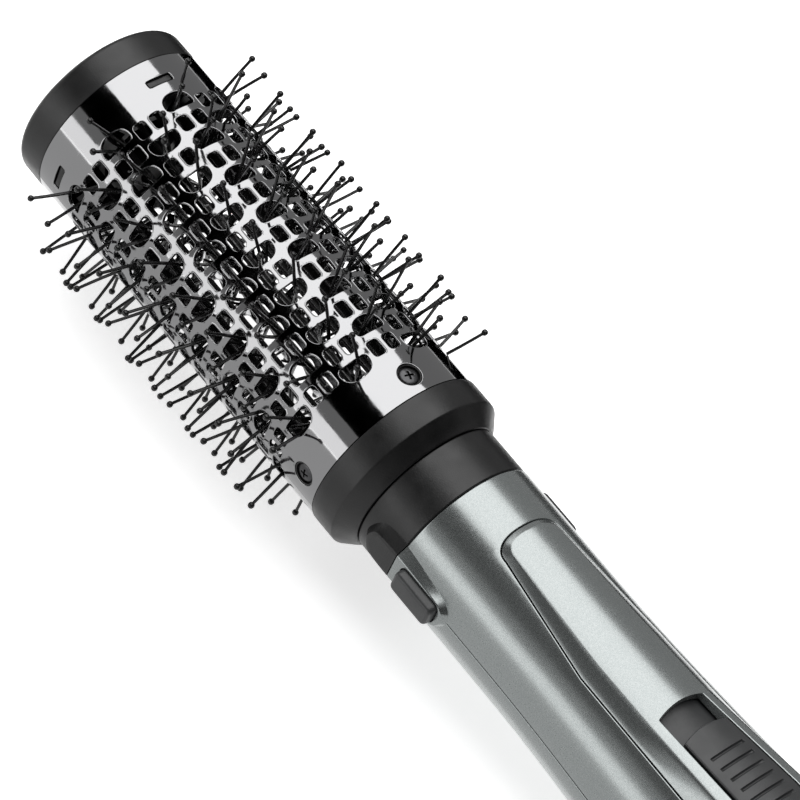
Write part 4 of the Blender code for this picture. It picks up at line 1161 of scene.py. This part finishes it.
def upper_shell_outline():
    """Unrolled upper half of the casing, with a notch at each button."""
    edge = 90.0 * SHELL_ARC - GAP / 2
    notch = edge - NOTCH_DEPTH
    near = [(SHELL_FRONT_X + GAP, -edge), (NOTCH_START_X, -edge), (NOTCH_START_X, -notch),
            (NOTCH_END_X, -notch), (NOTCH_END_X, -edge), (SHELL_REAR_X, -edge)]
    return subdivide(near + [(x, -v) for x, v in reversed(near)], 1.3)


SHELL_EDGE = ((-0.34, 0.0), (-0.16, -0.03), (-0.04, -0.12), (0.0, -0.3), (0.0, -WALL))
POCKET_EDGE = ((0.3, 0.0), (0.12, -0.03), (0.03, -0.12), (0.0, -0.3), (0.0, -WALL))


def casing_form(outline, holes, place, spacing=1.7):
    """A thin wall on the casing's surface with rounded edges."""
    form = Form()
    outer = form.rim(outline, SHELL_EDGE, place)
    rims = [form.rim(hole, POCKET_EDGE, place) for hole in holes]
    tops = [offset(outline, SHELL_EDGE[0][0])] + [offset(hole, POCKET_EDGE[0][0]) for hole in holes]
    form.fill(tops, [outer[0]] + [rows[0] for rows in rims], spacing, place)
    form.fill([outline] + holes, [outer[-1]] + [rows[-1] for rows in rims], 2 * spacing, place, -WALL)
    return form


def well_form(x, across, seat):
    """The well above one shell screw: a tube from the seat down to the casing's skin."""
    form = Form()
    rows = []
    for radius, deep in ((WELL_BORE, True), (WELL_BORE, False), (WELL_RADIUS, False), (WELL_RADIUS, True)):
        ring = []
        for a, b in circle(radius, 28):
            drop = -math.sqrt((shell_radius(x + a) - 0.6) ** 2 - (across + b) ** 2)
            ring.append((x + a, across + b, seat if deep else drop))
        rows.append(form.ring(ring))
    form.skin(rows, around=True)
    for lift in (0.05, 0.0):
        floor = form.ring([(x + a, across + b, seat + lift) for a, b in circle(WELL_RADIUS, 28)])
        form.faces.append(tuple(floor))
    return form


def well_hole(x, across):
    """Where that well meets the unrolled lower half."""
    radius = shell_radius(x)
    angle = math.asin(across / radius)
    stretch = 1.0 / math.cos(angle)
    outline = [(x + a, -math.degrees(angle) * SHELL_ARC - b * stretch) for a, b in circle(WELL_HOLE, 36)]
    return outline[::-1] if area(outline) < 0 else outline


def area(outline):
    """Signed area of a closed outline; anticlockwise is positive."""
    total = 0.0
    for (x0, y0), (x1, y1) in zip(outline, outline[1:] + outline[:1]):
        total += x0 * y1 - x1 * y0
    return total / 2


def below(u, v, level):
    """A point on the lower half of the casing."""
    return polar(u, shell_radius(u) + level, 180.0 + v / SHELL_ARC)


def build_shells(materials):
    """Both halves of the casing with the rear parts of the pads, the wells and their screws."""
    pocket = offset(panel_edge(), 0.32)
    outline = upper_shell_outline()
    paint = materials["paint"]
    form = casing_form(outline, [pocket], casing)
    for side in (-1, 1):
        form.add(half_space(pad_form(side, True), SHELL_FRONT_X + GAP, False))
    piece("shell_top", form, paint, "handle", ["upper_shell"])
    holes = [well_hole(x, across) for x, across, _ in SHELL_SCREWS]
    form = casing_form(outline, holes, below)
    for x, across, seat in SHELL_SCREWS:
        form.add(well_form(x, across, seat))
    piece("shell_bottom", form, paint, "handle", ["lower_shell"])
    for index, place in enumerate(SHELL_SCREWS):
        form = screw_form(place, (0, 0, -1), SHELL_SCREW_RADIUS, SHELL_SCREW_HEIGHT, 0.3 + index)
        number = str(index + 1)
        piece("case_screw_" + number, form, materials["screw"], "handle", ["shell_screw_" + number])


def build_panel(material):
    """The raised inlay: upright edge, sloped flanks, crest and curved top with the switch's slot."""
    form = Form()
    edge = panel_edge()
    crest = panel_crest()

    def top(u, v, level):
        return polar(u, shell_radius(u) + panel_raise(u) + level, v / SHELL_ARC)

    foot = form.rim(edge, ((0.0, -PANEL_DEPTH), (0.0, -0.12), (-0.05, 0.02), (-0.2, 0.1)), casing)
    last = foot[-1]
    start = offset(edge, -0.2)
    for share in (0.2, 0.4, 0.6, 0.8, 0.92):
        ring = []
        for (a, b), (c, d) in zip(start, crest):
            u = a + (c - a) * share
            v = b + (d - b) * share
            ring.append(casing(u, v, 0.1 + (panel_raise(u) - 0.1) * share))
        row = form.ring(ring)
        form.bridge(last, row)
        last = row
    brow = form.rim(crest, ((0.0, -0.05), (-0.25, -0.01), (-0.55, 0.0)), top)
    form.bridge(last, brow[0])
    slot = slot_outline()
    hole = form.rim(slot, ((0.22, 0.0), (0.08, -0.04), (0.0, -0.15)), top)
    low = form.ring([casing(u, v, -PANEL_DEPTH) for u, v in slot])
    form.bridge(hole[-1], low)
    form.fill([offset(crest, -0.55), offset(slot, 0.22)], [brow[-1], hole[0]], 1.3, top)
    form.fill([edge, slot], [foot[0], low], 3.0, casing, -PANEL_DEPTH)
    piece("inlay_panel", form, material, "handle", ["switch_panel"])


# ---------------------------------------------------------------- thumb slider

def grip_level(x, y):
    """Depth of the grip grooves at a place on the slider, with a faint lip beside each."""
    level = 0.0
    for index in range(GRIP_COUNT):
        t = (x - GRIP_FIRST_X - index * GRIP_PITCH) / GRIP_HALF_WIDTH
        if abs(t) < 1.0:
            level = -GRIP_DEPTH * math.sqrt(1.0 - t * t)
        elif abs(t) < 1.5:
            level = 0.05
    fade = min(max((GRIP_HALF_LENGTH - abs(y)) / 0.45, 0.0), 1.0)
    return level * fade * (2.0 - fade)


def slider_stations():
    """Places along the slider where its surface needs a row of points."""
    stations = [SLIDER_START_X + 0.3 + 0.8 * step for step in range(9)]
    for index in range(GRIP_COUNT):
        center = GRIP_FIRST_X + index * GRIP_PITCH
        for t in (-1.6, -1.25, -1.0, -0.93, -0.75, -0.4, 0.0, 0.4, 0.75, 0.93, 1.0, 1.25, 1.6):
            stations.append(center + t * GRIP_HALF_WIDTH)
    stations += [SLIDER_END_X - 2.6, SLIDER_END_X - 1.4, SLIDER_END_X - 0.3]
    stations.sort()
    return stations


def build_slider(material):
    """Thumb slider with grip grooves on its sliding base plate."""
    form = Form()
    arc_half = math.radians(SLIDER_ANGLE)
    shares = [-1.0, -0.985, -0.95, -0.88, -0.81]
    shares += [-0.775, -0.76, -0.745, -0.73, -0.715, -0.7, -0.6, -0.45, -0.3, -0.15]
    shares = shares + [0.0] + [-share for share in reversed(shares)]
    rows = []
    for x in slider_stations():
        row = []
        for share in shares:
            bow = FRONT_BULGE * share * share * max(0.0, 1.0 - (x - SLIDER_START_X) / 6.0)
            u = x + bow
            radius = shell_radius(u) + panel_raise(u) + 0.1
            across = radius * arc_half * share
            rim = -0.10 if abs(share) == 1.0 else -0.02 if abs(share) > 0.98 else 0.0
            row.append(polar(u, radius + grip_level(u, across) + rim, math.degrees(arc_half) * share))
        rows.append(form.ring(row))
    for first, second in zip(rows, rows[1:]):
        form.bridge(first, second, closed=False)
    border = rows[0] + [row[-1] for row in rows[1:-1]] + rows[-1][::-1] + [row[0] for row in rows[-2:0:-1]]
    last = border
    for grow, sink in ((0.12, 0.05), (0.24, 0.17), (0.3, 0.4), (0.3, 3.0)):
        ring = []
        for index in border:
            point = form.points[index]
            degrees = math.degrees(math.atan2(point.y, point.z))
            radius = math.hypot(point.y, point.z)
            along = -grow if index in rows[0] else grow if index in rows[-1] else 0.0
            side = math.degrees(grow * 0.5 / radius) * (1 if degrees > 0 else -1)
            edge = side if abs(degrees) > SLIDER_ANGLE - 0.01 else 0.0
            ring.append(polar(point.x + along, radius - sink, degrees + edge))
        row = form.ring(ring)
        form.bridge(last, row)
        last = row
    form.faces.append(tuple(last))
    base = Form()
    outline = subdivide(rounded_rectangle(SLIDER_BASE_END_X - SLIDER_BASE_START_X,
                                          2 * SLIDER_BASE_ANGLE * SHELL_ARC, 1.5), 1.6)
    outline = moved(outline, (SLIDER_BASE_START_X + SLIDER_BASE_END_X) / 2, 0.0)
    profile = ((-0.2, SLIDER_BASE_TOP), (0.0, SLIDER_BASE_TOP - 0.2), (0.0, SLIDER_BASE_LOW))
    rim = base.rim(outline, profile, casing)
    base.fill([offset(outline, -0.2)], [rim[0]], 2.0, casing, SLIDER_BASE_TOP)
    base.fill([outline], [rim[-1]], 3.0, casing, SLIDER_BASE_LOW)
    form.add(base)
    piece("thumb_slider", form, material, "slider", ["slide_switch"])


# ---------------------------------------------------------------- tail

def cover_form(radius):
    """The vented cover: a flat face with slots and a hole for the gland, and a rounded skirt."""
    form = Form()

    def place(u, v, level):
        return Vector((TAIL_END_X + level, u, v))

    face = circle(COVER_FACE_RADIUS, 120)
    outer = form.rim(face, ((0.0, 0.0), ), place)
    inner = form.rim(face, ((0.0, -COVER_THICKNESS), ), place)
    holes = [resample(circle(GLAND_HOLE, 40), 0.9)]
    slot = moved(resample(rounded_rectangle(VENT_LENGTH, VENT_WIDTH, 0.98), 0.6), VENT_RADIUS, 0.0)
    for index in range(VENT_COUNT):
        turn = math.radians((index + 0.5) * 360.0 / VENT_COUNT)
        holes.append([(u * math.cos(turn) - v * math.sin(turn), u * math.sin(turn) + v * math.cos(turn))
                      for u, v in slot])
    profile = ((0.3, 0.0), (0.12, -0.04), (0.0, -0.25), (0.0, -COVER_THICKNESS))
    rims = [form.rim(hole, profile, place) for hole in holes]
    grown = [offset(hole, profile[0][0]) for hole in holes]
    form.fill([face] + grown, [outer[0]] + [rows[0] for rows in rims], 1.3, place)
    form.fill([face] + holes, [inner[0]] + [rows[-1] for rows in rims], 1.8, place, -COVER_THICKNESS)
    end = TAIL_END_X
    front = SHELL_REAR_X + GAP
    skirt = [(end - 0.03, 19.8), (end - 0.2, 20.6), (end - 0.6, 21.4), (end - 1.3, 22.1), (end - 2.4, 22.75),
             (end - 4.0, radius - 0.32), (end - 7.0, radius - 0.1), (front + 0.3, radius),
             (front, radius - 0.3), (front, radius - 2.0), (end - 4.0, radius - 2.2), (end - 2.0, 19.4)]
    turns = [math.atan2(v, u) for u, v in face]
    last = outer[0]
    for x, r in skirt:
        row = form.ring([(x, r * math.cos(turn), r * math.sin(turn)) for turn in turns])
        form.bridge(last, row)
        last = row
    form.bridge(last, inner[0])
    return form


def mesh_form(reach):
    """Wires woven both ways within a radius, clear of the gland, between two round frames."""
    form = Form()
    middle = MESH_X + MESH_DEPTH / 2
    count = int(reach / MESH_PITCH)
    for index in range(-count, count + 1):
        at = index * MESH_PITCH
        half = math.sqrt(reach ** 2 - at ** 2)
        spans = [(-half, half)]
        if abs(at) < MESH_HOLE:
            gap = math.sqrt(MESH_HOLE ** 2 - at ** 2)
            spans = [(-half, -gap), (gap, half)]
        for start, end in spans:
            steps = max(2, round((end - start) / MESH_PITCH))
            for across in (False, True):
                path = []
                for step in range(steps + 1):
                    along = start + (end - start) * step / steps
                    lift = MESH_WIRE * 0.9 * (1 if (step + index + across) % 2 else -1)
                    path.append((middle + lift, along, at) if across else (middle - lift, at, along))
                form.add(tube(path, [MESH_WIRE] * len(path), 4))
    for low, high, segments in ((reach - 0.3, reach + 0.7, 72), (MESH_HOLE - 0.3, MESH_HOLE + 0.4, 48)):
        end = MESH_X + MESH_DEPTH
        form.add(lathe(((MESH_X, low), (end, low), (end, high), (MESH_X, high)), segments))
    return form


def build_filter_cover(materials):
    """Vented cover over the air inlet, and the woven wire filter behind it."""
    radius = shell_radius(SHELL_REAR_X) - COVER_INSET
    cover = cover_form(radius)
    piece("cover_rear", cover, materials["dark"], "rear_filter", ["filter_cover"])
    piece("wire_filter", mesh_form(radius - 3.4), materials["steel"], "rear_filter", ["filter_mesh"])


def build_gland(material):
    """Swivelling cord gland with ribs and a flange inside the casing."""
    start = GLAND_FLANGE_X
    stop = GLAND_FLANGE_END_X
    flange = GLAND_FLANGE_RADIUS
    outline = [(start, GLAND_BORE), (start, flange - 0.2), (start + 0.2, flange), (stop - 0.2, flange),
               (stop, flange - 0.2), (stop, GLAND_RADIUS), (GLAND_RIBS_X - 0.6, GLAND_RADIUS)]
    for index in range(3):
        x = GLAND_RIBS_X + GLAND_RIB_PITCH * index
        outline += [(x, 4.95), (x + 0.25, 4.5), (x + 0.85, 4.5), (x + 1.1, 4.9)]
    outline += arc((GLAND_END_X - 0.5, 4.3), 0.5, 90, 0, 3)
    outline += [(GLAND_END_X, 3.9), (GLAND_END_X - 0.3, GLAND_BORE)]
    piece("gland_body", lathe(outline, 64), material, "swivel_gland", ["cord_gland"])


# ---------------------------------------------------------------- CAD nodes that stay

def finish_inner_parts(materials):
    """Give the CAD nodes that stay in view their materials."""
    finishes = {
        "black": ("strip_ring_front", "strip_ring_rear", "fan_housing", "fan", "motor_end_bell",
                  "motor_mount", "rear_bulkhead", "switch_body"),
        "mica": ("heater_liner", "heater_frame"),
        "steel": ("heater_coil", "thermostat", "thermal_fuse", "motor_shaft", "motor_can", "gland_clip",
                  "button_spring_left", "button_spring_right"),
        "magnet": ("motor_magnets", ),
        "copper": ("motor_armature", ),
        "board": ("circuit_board", ),
    }
    for finish, names in finishes.items():
        for name in names:
            mesh = frame["nodes"][name].data
            mesh.materials.clear()
            mesh.materials.append(materials[finish])


# ---------------------------------------------------------------- stage, light and camera

def stage_plane(name, center, across, along, width, length, material):
    """A flat sheet of the studio, in metres."""
    corners = []
    for a, b in ((-1, -1), (1, -1), (1, 1), (-1, 1)):
        corners.append(center + across * (a * width / 2) + along * (b * length / 2))
    mesh = bpy.data.meshes.new(name)
    mesh.from_pydata([tuple(corner) for corner in corners], [], [(0, 1, 2, 3)])
    mesh.materials.append(material)
    item = bpy.data.objects.new(name, mesh)
    bpy.context.scene.collection.objects.link(item)
    return item


def build_floor():
    """A wide pale floor under the object."""
    material, tree, shader = new_material("floor_paper", (0.93, 0.93, 0.93), 0.9)
    shader.inputs["Specular IOR Level"].default_value = 0.1
    shader.inputs["Emission Color"].default_value = (1.0, 1.0, 1.0, 1.0)
    shader.inputs["Emission Strength"].default_value = FLOOR_GLOW
    color_by(tree, shader, noise(tree, 3.0), (0.93, 0.93, 0.93), (0.95, 0.95, 0.95))
    stage_plane("floor", Vector((0, 0, 0)), Vector((1, 0, 0)), Vector((0, 1, 0)), FLOOR_SIZE, FLOOR_SIZE,
                material)


def facing_tool(degrees, distance, shift):
    """A place in the studio at an angle about the tool axis, from the switch side towards +Y, with the
    direction away from the tool there and the one along it."""
    place = TOOL @ polar(STUDIO_CENTER_X + shift, distance, degrees)
    away = (place - TOOL @ Vector((STUDIO_CENTER_X, 0, 0))).normalized()
    along = TOOL.to_3x3() @ Vector((1, 0, 0))
    return place, away, (along - away * along.dot(away)).normalized()


def soft_light(name, degrees, width, power):
    """A rectangular soft box whose long side runs along the tool."""
    data = bpy.data.lights.new(name, "AREA")
    data.shape = "RECTANGLE"
    data.size = SOFT_BOX_LENGTH
    data.size_y = width
    data.energy = power
    lamp = bpy.data.objects.new(name, data)
    bpy.context.scene.collection.objects.link(lamp)
    place, away, along = facing_tool(degrees, SOFT_BOX_DISTANCE, SOFT_BOX_SHIFT)
    turn = Matrix((along, away.cross(along), away)).transposed().to_4x4()
    lamp.matrix_world = Matrix.Translation(place) @ turn


def reflection_card(name, glow):
    """A card without any gloss, seen only in reflections: black, or an even glowing grey that is a painted
    reflection and does not depend on the light.
    """
    material, _, shader = new_material(name, (0.0, 0.0, 0.0), 1.0)
    shader.inputs["Specular IOR Level"].default_value = 0.0
    shader.inputs["Emission Color"].default_value = (1.0, 1.0, 1.0, 1.0)
    shader.inputs["Emission Strength"].default_value = glow
    return material


def build_cards():
    """Four cards that only reflections see: a flag over the tool, two beside it on the floor and one beyond
    its cord end. The grey one glows, a painted reflection on the glossy parts."""
    black = reflection_card("black_cloth", 0.0)
    # the grey card glows only for glossy rays: a painted reflection of dim floor
    grey = reflection_card("grey_painted_reflection", GREY_CARD_GLOW)
    x = Vector((1, 0, 0))
    y = Vector((0, 1, 0))
    z = Vector((0, 0, 1))
    place, away, along = facing_tool(FLAG_ANGLE, FLAG_DISTANCE, FLAG_SHIFT)
    cards = (
        stage_plane("black_card", place, away.cross(along), along, FLAG_WIDTH, FLAG_LENGTH, black),
        stage_plane("floor_card", Vector((-0.3, 0.75, CARD_HEIGHT)), y, x, 1.3, CARD_LENGTH, black),
        stage_plane("end_card", Vector((1.1, -0.1, 0.75)), y, z, 2.6, 1.5, black),
        stage_plane("grey_card", Vector((-0.3, -0.922, CARD_HEIGHT)), y, x, 1.8, CARD_LENGTH, grey),
    )
    for card in cards:
        card.visible_camera = False
        card.visible_diffuse = False
        card.visible_shadow = False


def build_light():
    """Soft boxes on both sides of the tool, cards between and around them, and an even pale surround."""
    world = bpy.data.worlds.new("surround")
    bpy.context.scene.world = world
    world.use_nodes = True
    background = world.node_tree.nodes["Background"]
    background.inputs["Color"].default_value = (1.0, 1.0, 1.0, 1.0)
    background.inputs["Strength"].default_value = SURROUND
    soft_light("key_box", KEY_ANGLE, KEY_WIDTH, KEY_POWER)
    soft_light("fill_box", FILL_ANGLE, FILL_WIDTH, FILL_POWER)
    build_cards()
    bpy.context.scene.view_settings.view_transform = "Standard"


def build_camera():
    """A long lens on the head and the front of the handle, from above and behind."""
    data = bpy.data.cameras.new("camera")
    data.lens = CAMERA_LENS
    data.clip_end = 50.0
    item = bpy.data.objects.new("camera", data)
    bpy.context.scene.collection.objects.link(item)
    turn = Euler([math.radians(value) for value in CAMERA_TURN]).to_matrix().to_4x4()
    item.matrix_world = TOOL @ Matrix.Translation(Vector(CAMERA_PLACE) * MM) @ turn
    bpy.context.scene.camera = item


def main():
    materials = make_materials()
    build_camera()
    build_floor()
    build_light()
    build_head(materials)
    build_nozzle(materials["black"])
    build_buttons(materials["dark"])
    build_shells(materials)
    build_panel(materials["paint"])
    build_slider(materials["dark"])
    build_filter_cover(materials)
    build_gland(materials["black"])
    finish_inner_parts(materials)


main()
